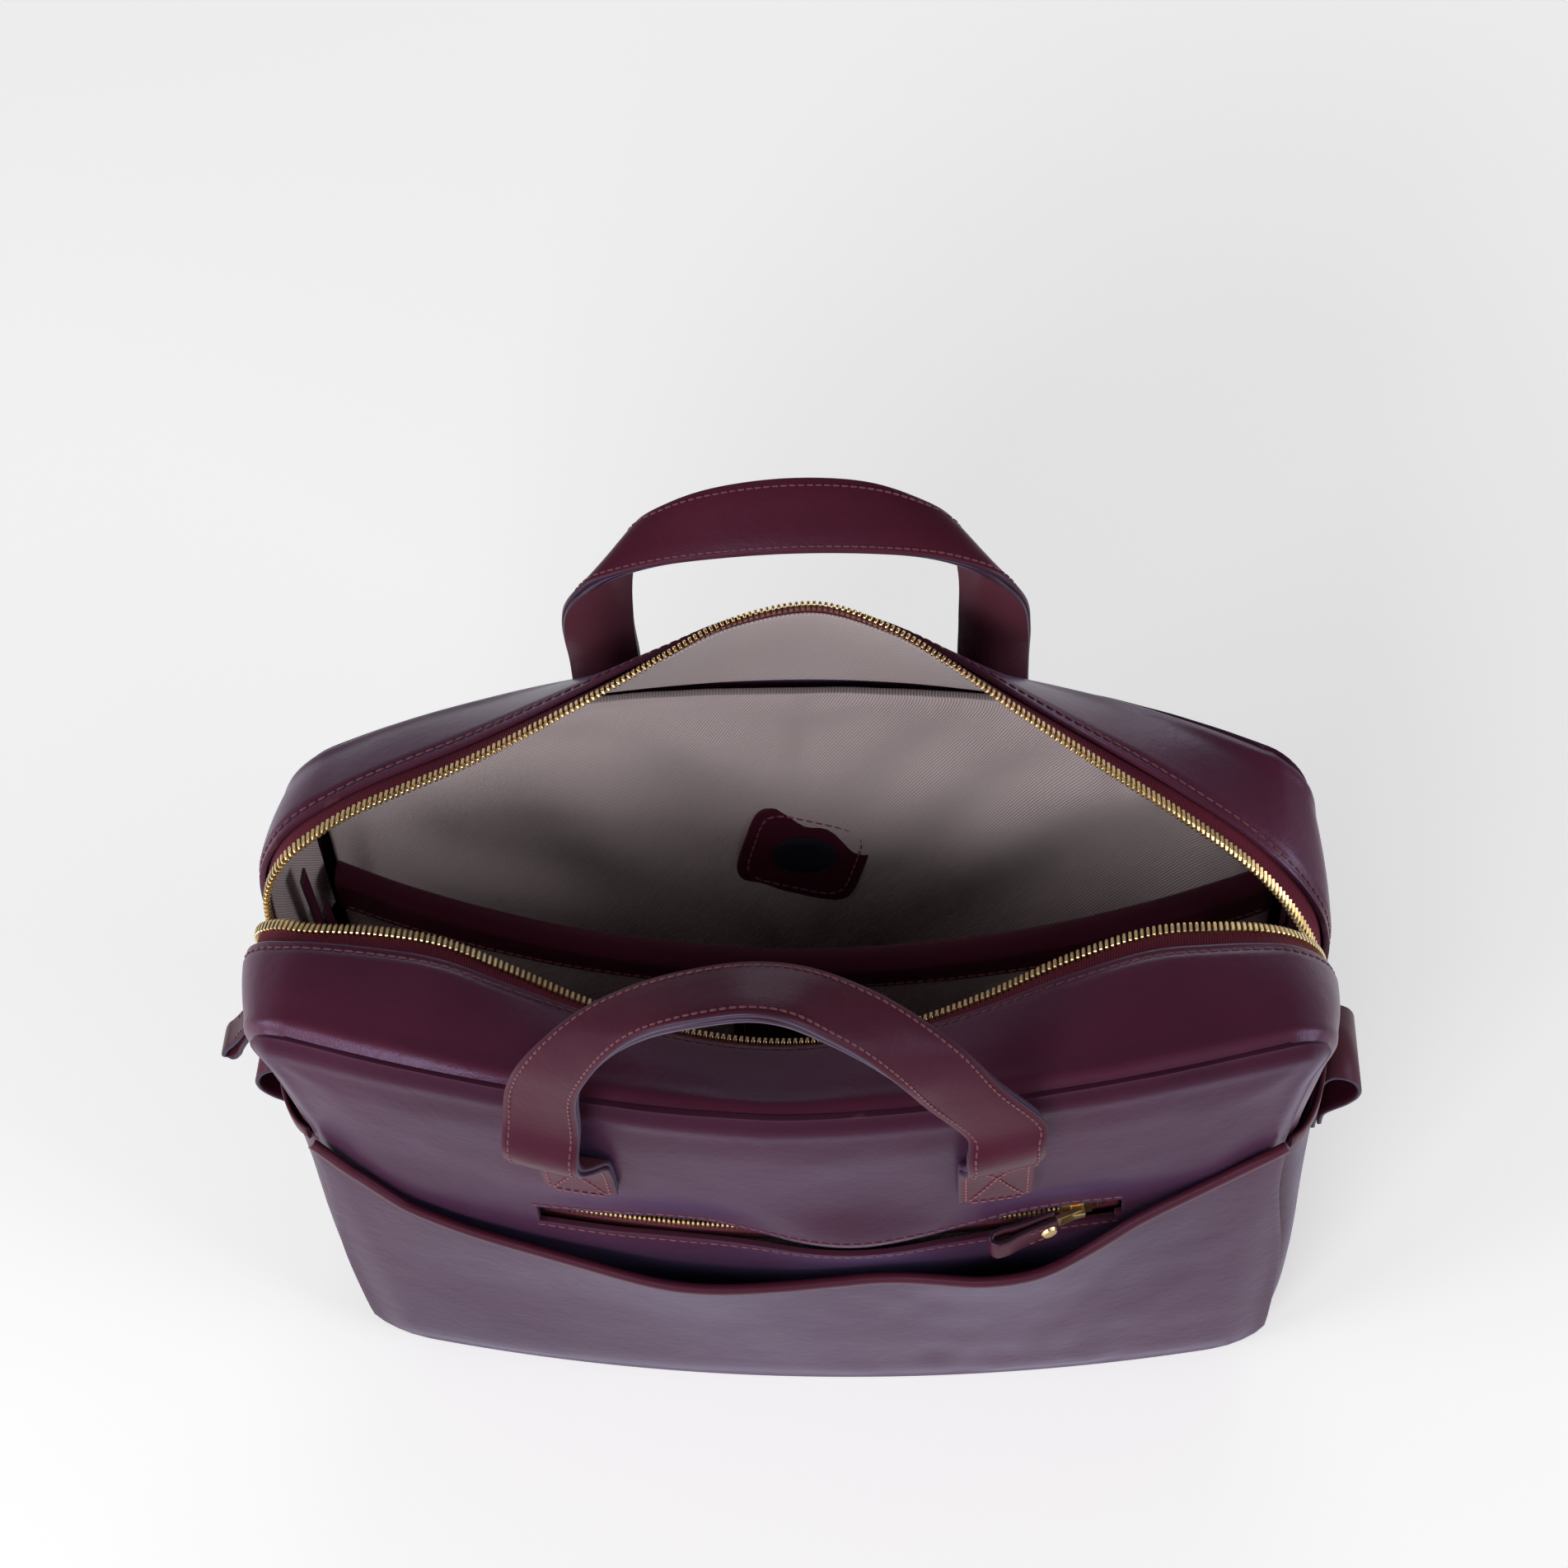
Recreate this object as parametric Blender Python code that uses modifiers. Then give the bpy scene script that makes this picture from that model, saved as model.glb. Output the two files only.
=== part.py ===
"""Zip-topped leather bag with two handles, a slip pocket, a zip pocket and a padded divider.

Metres, +Z up. The bag stands on its base at z = 0, with its front towards -Y and its centre at x = 0.
Every soft wall is one sheet whose outer face is a grid of points, thickened inwards by Solidify.
"""
import math

import bmesh
import bpy
from mathutils import Matrix, Quaternion, Vector

# ---------------------------------------------------------------- driving dimensions
HALF_WIDTH = 0.1955
SEAM_HEIGHT = 0.281
BASE_CORNER = 0.030
TOP_CORNER = 0.016
GAP = 0.0003
LEATHER = 0.0022
FOAM = 0.0030
LINING = 0.0010
STRIP_START = 0.0012
SIDE_BULGE = 0.008
WING_TOP = 0.196
PAD_DROP = 0.012

FOAM_DEPTH = 0.0120
LINING_DEPTH = FOAM_DEPTH + FOAM + 2 * GAP
STAY = 0.0012
REAR_FOAM_DEPTH = LEATHER + STAY + 5 * GAP
REAR_LINING_DEPTH = REAR_FOAM_DEPTH + FOAM + 2 * GAP

STRAP_WIDTH = 0.028
STRAP_LAYER = 0.0021
HANDLE_X = 0.076
HANDLE_BOTTOM = 0.213
HANDLE_PIVOT_Z = 0.2845
PIVOT_ROOM = 0.0058
FRONT_PIVOT_Y = -0.0960
REAR_PIVOT_Y = 0.1095

ZIP_SLOT_Z = 0.174
ZIP_SLOT_HALF = 0.124
ZIP_SLOT_HEIGHT = 0.014
TRACK_RADIUS = 0.5360
TRACK_FRONT_Y = -0.0805
POCKET_SLIDER_X = 0.108

MAIN_SLIDER_Z = 0.212
MAIN_CHAIN_X = 0.2004
CHAIN_WIDTH = 0.0030
CHAIN_DEPTH = 0.0028
MAIN_PULL_LENGTH = 0.051
MAIN_PULL_TILT = math.radians(33)
POCKET_PULL_LENGTH = 0.036
POCKET_PULL_TILT = math.radians(12)
LOOP_WIDTH = 0.034
MAIN_PULL_WIDTH = 0.013
POCKET_PULL_WIDTH = 0.011
PATCH_X = -0.001
PATCH_Z = 0.187
PATCH_WIDTH = 0.052
PATCH_HEIGHT = 0.048
PATCH_TILT = math.radians(-17)

COLOURS = {
    "leather": ((0.060, 0.018, 0.028), 0.38, 0.0),
    "edge": ((0.040, 0.012, 0.018), 0.45, 0.0),
    "tape": ((0.110, 0.022, 0.035), 0.85, 0.0),
    "brass": ((0.700, 0.500, 0.220), 0.30, 1.0),
    "lining": ((0.300, 0.250, 0.230), 0.90, 0.0),
    "foam": ((0.550, 0.540, 0.520), 0.95, 0.0),
    "board": ((0.250, 0.200, 0.150), 0.80, 0.0),
    "inset": ((0.015, 0.013, 0.014), 0.50, 0.0),
}


# ---------------------------------------------------------------- scene and small helpers
def empty_scene():
    for item in list(bpy.data.objects):
        bpy.data.objects.remove(item, do_unlink=True)


def new_collection(name):
    group = bpy.data.collections.new(name)
    bpy.context.scene.collection.children.link(group)
    return group


def dress(item, kind):
    colour, roughness, metallic = COLOURS[kind]
    material = bpy.data.materials.new(item.name + "_" + kind)
    material.use_nodes = True
    shader = material.node_tree.nodes["Principled BSDF"]
    shader.inputs["Base Color"].default_value = (*colour, 1.0)
    shader.inputs["Roughness"].default_value = roughness
    shader.inputs["Metallic"].default_value = metallic
    item.data.materials.clear()
    item.data.materials.append(material)


def mix(a, b, t):
    return a + (b - a) * t


def smooth_step(t):
    t = min(max(t, 0.0), 1.0)
    return t * t * (3 - 2 * t)


def along(points, t):
    """Catmull-Rom point at parameter t, which runs 0 to len(points) - 1."""
    last = len(points) - 1
    i = min(int(t), last - 1)
    f = t - i
    p0 = Vector(points[max(i - 1, 0)])
    p1 = Vector(points[i])
    p2 = Vector(points[i + 1])
    p3 = Vector(points[min(i + 2, last)])
    straight = 2 * p1 + (p2 - p0) * f
    curved = (2 * p0 - 5 * p1 + 4 * p2 - p3) * f * f + (3 * p1 - p0 - 3 * p2 + p3) * f ** 3
    return (straight + curved) / 2


def millimetres(rows):
    return [tuple(value / 1000 for value in row) for row in rows]


def make_object(name, mesh, kind, location=(0, 0, 0)):
    item = bpy.data.objects.new(name, mesh)
    parts.objects.link(item)
    item.location = location
    dress(item, kind)
    return item


def grid_mesh(name, rows, closed=False):
    """Quad mesh over rows of points; closed joins the last row to the first."""
    mesh = bpy.data.meshes.new(name)
    bm = bmesh.new()
    grid = [[bm.verts.new(point) for point in row] for row in rows]
    count = len(grid) if closed else len(grid) - 1
    for r in range(count):
        here = grid[r]
        there = grid[(r + 1) % len(grid)]
        for c in range(len(here) - 1):
            bm.faces.new((here[c], here[c + 1], there[c + 1], there[c]))
    bm.normal_update()
    bm.to_mesh(mesh)
    bm.free()
    return mesh


def face_outwards(mesh, centre):
    """Turns a sheet's faces away from a centre point, judged over the whole sheet."""
    centre = Vector(centre)
    total = sum(face.normal.dot(face.center - centre) * face.area for face in mesh.polygons)
    if total < 0:
        mesh.flip_normals()


def sheet(name, rows, thickness, kind, centre=(0, 0, 0.15), origin=(0, 0, 0)):
    """A sheet whose outer face is the grid and whose thickness goes inwards."""
    origin = Vector(origin)
    mesh = grid_mesh(name, [[Vector(point) - origin for point in row] for row in rows])
    face_outwards(mesh, Vector(centre) - origin)
    item = make_object(name, mesh, kind, origin)
    solid = item.modifiers.new("thickness", "SOLIDIFY")
    solid.thickness = thickness
    solid.offset = -1
    return item


def sink(rows, depth, centre=(0, 0, 0.15)):
    """The same grid moved inwards along its own normals."""
    mesh = grid_mesh("guide", rows)
    face_outwards(mesh, centre)
    width = len(rows[0])
    moved = []
    for r in range(len(rows)):
        moved.append([Vector(rows[r][c]) - mesh.vertices[r * width + c].normal * depth for c in range(width)])
    bpy.data.meshes.remove(mesh)
    return moved


def box(name, size, location, kind, bevel=0.0, rotation=(0, 0, 0)):
    mesh = bpy.data.meshes.new(name)
    bm = bmesh.new()
    bmesh.ops.create_cube(bm, size=1.0)
    bmesh.ops.scale(bm, vec=size, verts=bm.verts)
    bm.to_mesh(mesh)
    bm.free()
    item = make_object(name, mesh, kind, location)
    item.rotation_euler = rotation
    if bevel:
        edge = item.modifiers.new("edge", "BEVEL")
        edge.width = bevel
        edge.segments = 2
    return item


def disc(name, radius, depth, location, rotation, kind, segments=20):
    mesh = bpy.data.meshes.new(name)
    bm = bmesh.new()
    bmesh.ops.create_cone(bm, cap_ends=True, segments=segments, radius1=radius, radius2=radius * 0.8, depth=depth)
    bm.to_mesh(mesh)
    bm.free()
    item = make_object(name, mesh, kind, location)
    item.rotation_euler = rotation
    return item


def hide_cutter(item):
    parts.objects.unlink(item)
    cutters.objects.link(item)
    item.hide_render = True
    item.display_type = "WIRE"


def cut(item, cutter):
    saw = item.modifiers.new("cut " + cutter.name, "BOOLEAN")
    saw.operation = "DIFFERENCE"
    saw.object = cutter


def join(item, other):
    """Unites a helper solid into item and hides the helper with the cutters."""
    weld = item.modifiers.new("join " + other.name, "BOOLEAN")
    weld.operation = "UNION"
    weld.object = other
    hide_cutter(other)


# ---------------------------------------------------------------- shape of the bag
def front_y(x, z):
    """Front face: bowed forwards in the middle, more at the top seam than at the base."""
    base = -0.045 - 0.019 * (1 - min(abs(x) / 0.191, 1.0) ** 2)
    top = -0.062 - 0.036 * (1 - min(abs(x) / HALF_WIDTH, 1.0) ** 1.6)
    return mix(base, top, z / SEAM_HEIGHT)


def rear_y(x, z):
    base = 0.045 + 0.019 * (1 - min(abs(x) / 0.191, 1.0) ** 2)
    top = 0.062 + 0.045 * (1 - min(abs(x) / HALF_WIDTH, 1.0) ** 2.6)
    return mix(base, top, z / SEAM_HEIGHT)


def half_width(z, margin, drop=0.0):
    """Half the panel's width at height z: its outline drawn in by a margin, its top lowered by drop."""
    low = BASE_CORNER - margin
    high = TOP_CORNER - margin
    edge = HALF_WIDTH - margin
    z = z if z < BASE_CORNER else z + drop
    if z - margin < low:
        rise = low - (z - margin)
        return edge - low + math.sqrt(max(low ** 2 - rise ** 2, 0.0))
    if SEAM_HEIGHT - margin - z < high:
        rise = high - (SEAM_HEIGHT - margin - z)
        return edge - high + math.sqrt(max(high ** 2 - rise ** 2, 0.0))
    return edge


def panel_heights(margin, drop, steps):
    low = BASE_CORNER - margin
    high = TOP_CORNER - margin
    top = SEAM_HEIGHT - margin - drop
    heights = [margin + low * (1 - math.cos(math.pi / 2 * i / 4)) for i in range(4)]
    heights += [mix(margin + low, top - high, i / steps) for i in range(steps)]
    heights += [top - high + high * math.sin(math.pi / 2 * i / 2) for i in range(3)]
    return heights


def panel_grid(y_of, margin, columns, steps, drop=0.0):
    rows = []
    for z in panel_heights(margin, drop, steps):
        edge = half_width(z, margin, drop)
        row = []
        for c in range(columns + 1):
            x = edge * (2 * c / columns - 1)
            row.append(Vector((x, y_of(x, z), z)))
        rows.append(row)
    return rows


def build_panels():
    front = panel_grid(front_y, 0.0, 14, 7)
    rear = panel_grid(rear_y, 0.0, 14, 7)
    front_panel = sheet("front_panel", front, LEATHER, "leather")
    sheet("rear_panel", rear, LEATHER, "leather")
    slot = box("zip_slot", (2 * ZIP_SLOT_HALF, 0.060, ZIP_SLOT_HEIGHT), (0, -0.078, ZIP_SLOT_Z), "leather")
    hide_cutter(slot)
    cut(front_panel, slot)


def build_padding():
    """Foam and lining behind each panel, drawn in to clear the gusset."""
    margin = LEATHER + LINING + 3 * GAP
    low_front = panel_grid(front_y, margin + 0.001, 12, 4, PAD_DROP)
    low_rear = panel_grid(rear_y, margin + 0.001, 12, 4)
    sheet("front_foam", sink(low_front, FOAM_DEPTH), FOAM, "foam")
    sheet("rear_foam", sink(low_rear, REAR_FOAM_DEPTH), FOAM, "foam")
    sheet("front_lining", sink(low_front, LINING_DEPTH), LINING, "lining")
    sheet("rear_lining", sink(low_rear, REAR_LINING_DEPTH), LINING, "lining")


def gusset_route(steps_side, steps_corner, steps_base, top):
    """(x, z, nx, nz) along the gusset, from the left wing down, across the base and up."""
    route = []
    r = BASE_CORNER
    for i in range(steps_side):
        route.append((-HALF_WIDTH, mix(top, r, i / steps_side), -1.0, 0.0))
    for i in range(steps_corner):
        a = math.pi / 2 * i / steps_corner
        route.append((-HALF_WIDTH + r - r * math.cos(a), r - r * math.sin(a), -math.cos(a), -math.sin(a)))
    for i in range(steps_base + 1):
        route.append((mix(-HALF_WIDTH + r, HALF_WIDTH - r, i / steps_base), 0.0, 0.0, -1.0))
    mirrored = [(-x, z, -nx, nz) for x, z, nx, nz in reversed(route[:steps_side + steps_corner])]
    return route + mirrored


def side_bulge(z, t):
    return SIDE_BULGE * smooth_step(z / 0.09) * 4 * t * (1 - t)


def gusset_grid(depth, setback, top, across=6):
    """Rows across the gusset, front to rear, sunk inwards by depth."""
    rows = []
    for x, z, nx, nz in gusset_route(6, 4, 4, top):
        x_in = x - nx * depth
        z_in = z - nz * depth
        y0 = front_y(x, z) + setback
        y1 = rear_y(x, z) - setback
        row = []
        for c in range(across + 1):
            t = c / across
            out = side_bulge(z, t)
            row.append(Vector((x_in + nx * out, mix(y0, y1, t), z_in)))
        rows.append(row)
    return rows


def build_gusset():
    sheet("lower_gusset", gusset_grid(0.0, LEATHER + GAP, WING_TOP), LEATHER, "leather", (0, 0, 0.16))
    depth = LEATHER + GAP
    setback = LINING_DEPTH + LINING + 2 * GAP
    sheet("gusset_lining", gusset_grid(depth, setback, WING_TOP), LINING, "lining", (0, 0, 0.16))


# ---------------------------------------------------------------- mouth: strips, tapes and tooth rows
# Each row pairs a point on the panel's outline (x, z) with the zip edge beside it (x, y, z).
FRONT_MOUTH = millimetres([
    (-195.5, 199, -204, -5.2, 199), (-195.5, 222, -204, -5.2, 222), (-195.5, 244, -204, -5.2, 246),
    (-195.5, 263, -202, -9, 268), (-190.8, 276.3, -191, -13, 280), (-179.5, 281, -176, -17, 284.5),
    (-150, 281, -150, -19, 285.5), (-125, 281, -125, -23, 284.5), (-100, 281, -100, -31, 279.5),
    (-70, 281, -70, -40.5, 272), (-35, 281, -35, -47.5, 265), (0, 281, 0, -50, 262.5),
    (35, 281, 35, -46.5, 265), (70, 281, 70, -37, 272), (100, 281, 100, -26.5, 280),
    (130, 281, 130, -18, 285), (155, 281, 155, -15, 284.5), (179.5, 281, 176, -12, 279),
    (190.8, 276.3, 190, -9, 268), (195.5, 263, 199, -6, 252), (195.5, 244, 203, -5.4, 234),
    (195.5, 222, 204, -5.2, 216), (195.5, 199, 203, -5.2, 199)])

REAR_MOUTH = millimetres([
    (-195.5, 199, -204, 5.2, 199), (-195.5, 222, -204, 5.2, 222), (-195.5, 244, -204, 5.2, 246),
    (-195.5, 263, -202, 8, 269), (-190.8, 276.3, -193, 12, 286), (-179.5, 281, -181, 18, 294),
    (-160, 281, -162, 28, 300), (-125, 281, -123, 45, 305.5), (-85, 281, -81, 63, 318),
    (-50, 281, -49, 79, 327), (-24, 281, -23, 91, 333), (6, 281, 9, 97, 335),
    (36, 281, 37, 89, 332), (60, 281, 60, 77, 326), (88, 281, 89, 60, 315),
    (117, 281, 119, 45, 302), (145, 281, 149, 31, 288), (170, 281, 172, 21, 273),
    (183, 280.5, 187, 13, 258), (193, 272, 198, 7, 241), (195.5, 248, 203, 5.3, 226),
    (195.5, 222, 204, 5.2, 213), (195.5, 199, 203, 5.2, 199)])

TAPE_START = 0.66
LEATHER_END = 0.76
MOUTH_STEPS = 44


def mouth_row(y_of, side, entry, t0, t1, across, dome):
    """Points across one strip, from its panel seam (t = 0) to its zip edge (t = 1)."""
    x, z, bx, by, bz = entry
    seam = Vector((x, y_of(x, z) - side * (LEATHER + STRIP_START), z))
    edge = Vector((bx, by, bz))
    run = edge - seam
    out = run.cross(Vector((1, 0, 0)) * side)
    lift = Vector((math.copysign(smooth_step((abs(x) - 0.17) / 0.025), x), 0, 0))
    out = (out.normalized() * (1 - abs(lift.x)) + lift).normalized()
    row = []
    for c in range(across + 1):
        t = mix(t0, t1, c / across)
        row.append(seam + run * t + out * dome * 4 * t * (1 - t))
    return row


def mouth_grid(y_of, side, table, t0, t1, across, dome, steps=MOUTH_STEPS):
    rows = []
    for i in range(steps + 1):
        entry = along_table(table, (len(table) - 1) * i / steps)
        rows.append(mouth_row(y_of, side, entry, t0, t1, across, dome))
    return rows


def along_table(table, t):
    panel = along([(row[0], 0, row[1]) for row in table], t)
    edge = along([row[2:] for row in table], t)
    return panel.x, min(panel.z, SEAM_HEIGHT), edge.x, edge.y, edge.z


def build_mouth():
    for name, y_of, side, table in (("front", front_y, -1, FRONT_MOUTH), ("rear", rear_y, 1, REAR_MOUTH)):
        centre = (0, 0, 0.15)
        dome = 0.003
        leather = mouth_grid(y_of, side, table, 0.0, LEATHER_END, 3, dome)
        tape = mouth_grid(y_of, side, table, TAPE_START, 1.0, 2, dome)
        facing_start = 0.16 if side > 0 else 0.34
        facing = mouth_grid(y_of, side, table, facing_start, TAPE_START - 0.06, 2, dome)
        depth = LEATHER + 3 * GAP
        sheet(name + "_top_gusset", leather, LEATHER, "leather", centre)
        sheet(name + "_zip_tape", sink(tape, depth, centre), LINING, "tape", centre)
        sheet(name + "_top_lining", sink(facing, depth, centre), LINING, "lining", centre)
        build_tooth_row(name + "_tooth_row", sink(tape, depth + LINING / 2, centre))


def build_tooth_row(name, tape):
    """The metal teeth as one square bead just past the tape's edge."""
    rows = []
    for i, row in enumerate(tape):
        edge = row[-1]
        outward = (row[-1] - row[-2]).normalized()
        ahead = tape[min(i + 1, len(tape) - 1)][-1] - tape[max(i - 1, 0)][-1]
        up = outward.cross(ahead.normalized()).normalized()
        near = edge + outward * GAP
        far = edge + outward * (GAP + CHAIN_WIDTH)
        half = up * CHAIN_DEPTH / 2
        rows.append([near - half, far - half, far + half, near + half])
    bead(name, rows, "brass")


def bead(name, sections, kind):
    """A solid bar through a list of four-cornered sections, with flat ends."""
    mesh = bpy.data.meshes.new(name)
    bm = bmesh.new()
    loops = [[bm.verts.new(point) for point in section] for section in sections]
    for here, there in zip(loops, loops[1:]):
        count = len(here)
        for c in range(count):
            bm.faces.new((here[c], here[(c + 1) % count], there[(c + 1) % count], there[c]))
    bm.faces.new(reversed(loops[0]))
    bm.faces.new(loops[-1])
    bmesh.ops.recalc_face_normals(bm, faces=bm.faces)
    bm.to_mesh(mesh)
    bm.free()
    return make_object(name, mesh, kind)


# ---------------------------------------------------------------- handles
# Each row is one cross-section of a strap: the edge that is outermost at the bag, then the other edge.
FRONT_HANDLE = millimetres([
    (-92, -90.5, 284.5, -65, -95.5, 286), (-92, -92, 300, -67, -101, 305), (-85, -92.5, 318, -60, -103.5, 325),
    (-71, -90, 335, -49, -106, 345), (-54, -86.5, 347, -37, -107, 358), (-32, -84, 357, -22, -109, 368),
    (-9, -82.5, 362, -5, -109.5, 373), (13, -82.5, 360, 8, -109.5, 370), (34, -84.5, 350, 20, -109, 358),
    (50, -88, 338, 32, -108.5, 345), (66, -91.5, 322, 43, -107, 327), (78, -93, 303, 51, -102.5, 306),
    (90, -90.5, 284.5, 63, -95.5, 284.5)])
REAR_HANDLE = millimetres([
    (-90, 107.5, 284.5, -62, 109, 284.5), (-90, 105, 306, -62.5, 111, 306), (-85, 103, 324, -62.5, 116, 328),
    (-74, 103, 336, -58, 122, 346), (-56, 104, 341, -43, 126, 358), (-32, 105, 344.5, -25, 127.5, 365),
    (0, 105, 347.5, 0, 128, 369), (32, 105, 348, 25, 127.5, 367), (57, 104, 346, 43, 126, 360),
    (76, 103, 339, 59, 122, 348), (87, 103, 325, 63, 116, 330), (90, 105, 306, 62.5, 111, 308),
    (90, 107.5, 284.5, 62, 109, 284.5)])
HANDLE_STEPS = 40


def strap_grid(table, steps):
    rows = []
    for i in range(steps + 1):
        t = (len(table) - 1) * i / steps
        outer = along([row[:3] for row in table], t)
        inner = along([row[3:] for row in table], t)
        middle = (outer + inner) / 2
        across = (outer - inner).normalized() * STRAP_WIDTH / 2
        rows.append([middle - across, middle, middle + across])
    return rows


def build_handle(name, table, centre, pivot_y):
    """Two layers of strap, moved as one about the line through both of its roots."""
    rows = strap_grid(table, HANDLE_STEPS)
    pivot = (0, pivot_y, HANDLE_PIVOT_Z)
    sheet(name + "_handle_strap", sink(rows, -STRAP_LAYER, centre), STRAP_LAYER, "leather", centre, pivot)
    sheet(name + "_handle_backing", sink(rows, GAP, centre), STRAP_LAYER, "leather", centre, pivot)


def patch_grid(y_of, x0, x1, z0, z1, columns, rows):
    return [[Vector((x, y_of(x, z), z)) for x in (mix(x0, x1, c / columns) for c in range(columns + 1))]
            for z in (mix(z0, z1, r / rows) for r in range(rows + 1))]


def build_handle_ends():
    """The sewn straps below each hinge line, and the stiff patches behind the panels."""
    top = HANDLE_PIVOT_Z - PIVOT_ROOM
    half = STRAP_WIDTH / 2
    thick = 2 * STRAP_LAYER + GAP
    for side, y_of, depth in (("front", front_y, 4 * GAP), ("rear", rear_y, 2 * GAP)):
        for hand, x in (("left", -HANDLE_X), ("right", HANDLE_X)):
            rows = patch_grid(y_of, x - half, x + half, HANDLE_BOTTOM, top, 4, 6)
            sheet(f"{side}_handle_end_{hand}", sink(rows, -thick - depth), thick, "leather")
            inner = patch_grid(y_of, x - half - 0.008, x + half + 0.008, HANDLE_BOTTOM - 0.008, 0.262, 3, 4)
            sheet(f"{side}_handle_stay_{hand}", sink(inner, LEATHER + 3 * GAP), STAY, "board")


# ---------------------------------------------------------------- slip pocket and zip pocket
SLIP_MOUTH = millimetres([
    (-191, 202), (-178, 188), (-157, 167), (-128, 156), (-94, 149), (-50, 144), (0, 142), (40, 145),
    (75, 151), (108, 160), (139, 177), (165, 193), (191, 206)])
SLIP_LAYER = 0.0020
SLIP_OPEN = 0.0095
SLIP_SLACK = 0.0040


def slip_top(x):
    for left, right in zip(SLIP_MOUTH, SLIP_MOUTH[1:]):
        if x <= right[0]:
            return mix(left[1], right[1], (x - left[0]) / (right[0] - left[0]))
    return SLIP_MOUTH[-1][1]


def slip_point(u, v):
    """Outer face of the slip pocket: it stands off the panel more and more towards its mouth."""
    z = v * slip_top(u * 0.1905)
    x = u * half_width(z, 0.0004)
    slack = SLIP_OPEN + SLIP_SLACK * math.exp(-((x - 0.090) / 0.045) ** 2)
    gap = slack * (1 - u ** 4) * v ** 2.5
    return Vector((x, front_y(x, z) - 3 * GAP - SLIP_LAYER - gap, z))


def slip_grid(columns, rows):
    levels = [0.0, 0.015, 0.05, 0.1] + [mix(0.18, 1.0, r / rows) for r in range(rows + 1)]
    return [[slip_point(2 * c / columns - 1, v) for c in range(columns + 1)] for v in levels]


def build_slip_pocket():
    sheet("slip_pocket_panel", slip_grid(24, 5), SLIP_LAYER, "leather")
    rows = []
    for c in range(29):
        u = 2 * c / 28 - 1
        edge = slip_point(u, 1.0) + Vector((0, SLIP_LAYER * 0.3, 0.0034))
        ring = []
        for k in range(6):
            a = 2 * math.pi * k / 6
            ring.append(edge + Vector((0, 0.0018 * math.cos(a), 0.0018 * math.sin(a))))
        rows.append(ring)
    bead("slip_pocket_edge", rows, "edge")


def track_point(x, depth, z):
    """A point on the pocket zip's arc, depth inwards from the arc."""
    radius = TRACK_RADIUS - depth
    angle = x / TRACK_RADIUS
    return Vector((radius * math.sin(angle), TRACK_FRONT_Y + TRACK_RADIUS - radius * math.cos(angle), z))


def track_bar(name, x0, x1, depth, thickness, z0, z1, steps, kind):
    rows = []
    for i in range(steps + 1):
        x = mix(x0, x1, i / steps)
        rows.append([track_point(x, depth, z0), track_point(x, depth, z1),
                     track_point(x, depth + thickness, z1), track_point(x, depth + thickness, z0)])
    return bead(name, rows, kind)


def build_pocket_zip():
    end = ZIP_SLOT_HALF + 0.002
    for name, sign in (("upper", 1), ("lower", -1)):
        z_near = ZIP_SLOT_Z + sign * 0.0042
        z_far = ZIP_SLOT_Z + sign * 0.0130
        low, high = sorted((z_near, z_far))
        track_bar("pocket_zip_tape_" + name, -end, end, 0.0, 0.0008, low, high, 24, "tape")
        low, high = sorted((ZIP_SLOT_Z + sign * 0.0014, ZIP_SLOT_Z + sign * 0.0039))
        reach = ZIP_SLOT_HALF - 0.004
        track_bar("pocket_tooth_row_" + name, -reach, reach, -0.0008, 0.0022, low, high, 24, "brass")


def build_pouch():
    """The pocket behind the zip: open at the slot, pinched shut at both ends."""
    half = ZIP_SLOT_HALF + 0.014
    front_depth = 0.0056
    back_depth = 0.0114
    lip = ZIP_SLOT_Z - 0.0085
    hood = ZIP_SLOT_Z + 0.0085
    base = 0.062
    crown = 0.198
    rows = []
    for i in range(17):
        x = mix(-half, half, i / 16)
        pinch = 1 - 0.75 * smooth_step((abs(x) - ZIP_SLOT_HALF - 0.004) / 0.010)
        back = front_depth + (back_depth - front_depth) * pinch
        hood_depth = mix(front_depth, back, 0.42)
        outline = [(front_depth, lip), (front_depth, mix(lip, base, 0.5)), (front_depth, base + 0.001),
                   (mix(front_depth, back, 0.5), base), (back, base + 0.001), (back, mix(base, crown, 0.5)),
                   (back, crown - 0.001), (mix(hood_depth, back, 0.5), crown),
                   (hood_depth, crown - 0.001), (hood_depth, hood)]
        rows.append([Vector((x, front_y(x, z) + depth, z)) for depth, z in outline])
    item = sheet("zip_pocket_pouch", rows, 0.0006, "lining", (0, -0.065, 0.12))
    return item


# ---------------------------------------------------------------- sliders and pulls
# A slider and its pull share one local frame: -X faces out of the bag, Y runs across the two tooth rows
# and Z along them. The pull hangs down -Z from the pin line through the slider's lug.
LUG_REACH = 0.0026
YOKE_END = 0.0095
TONGUE_END = 0.0160


def place(item, location, rotation, parent=None):
    item.location = location
    item.rotation_mode = "QUATERNION"
    item.rotation_quaternion = rotation
    item.parent = parent
    return item


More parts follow.
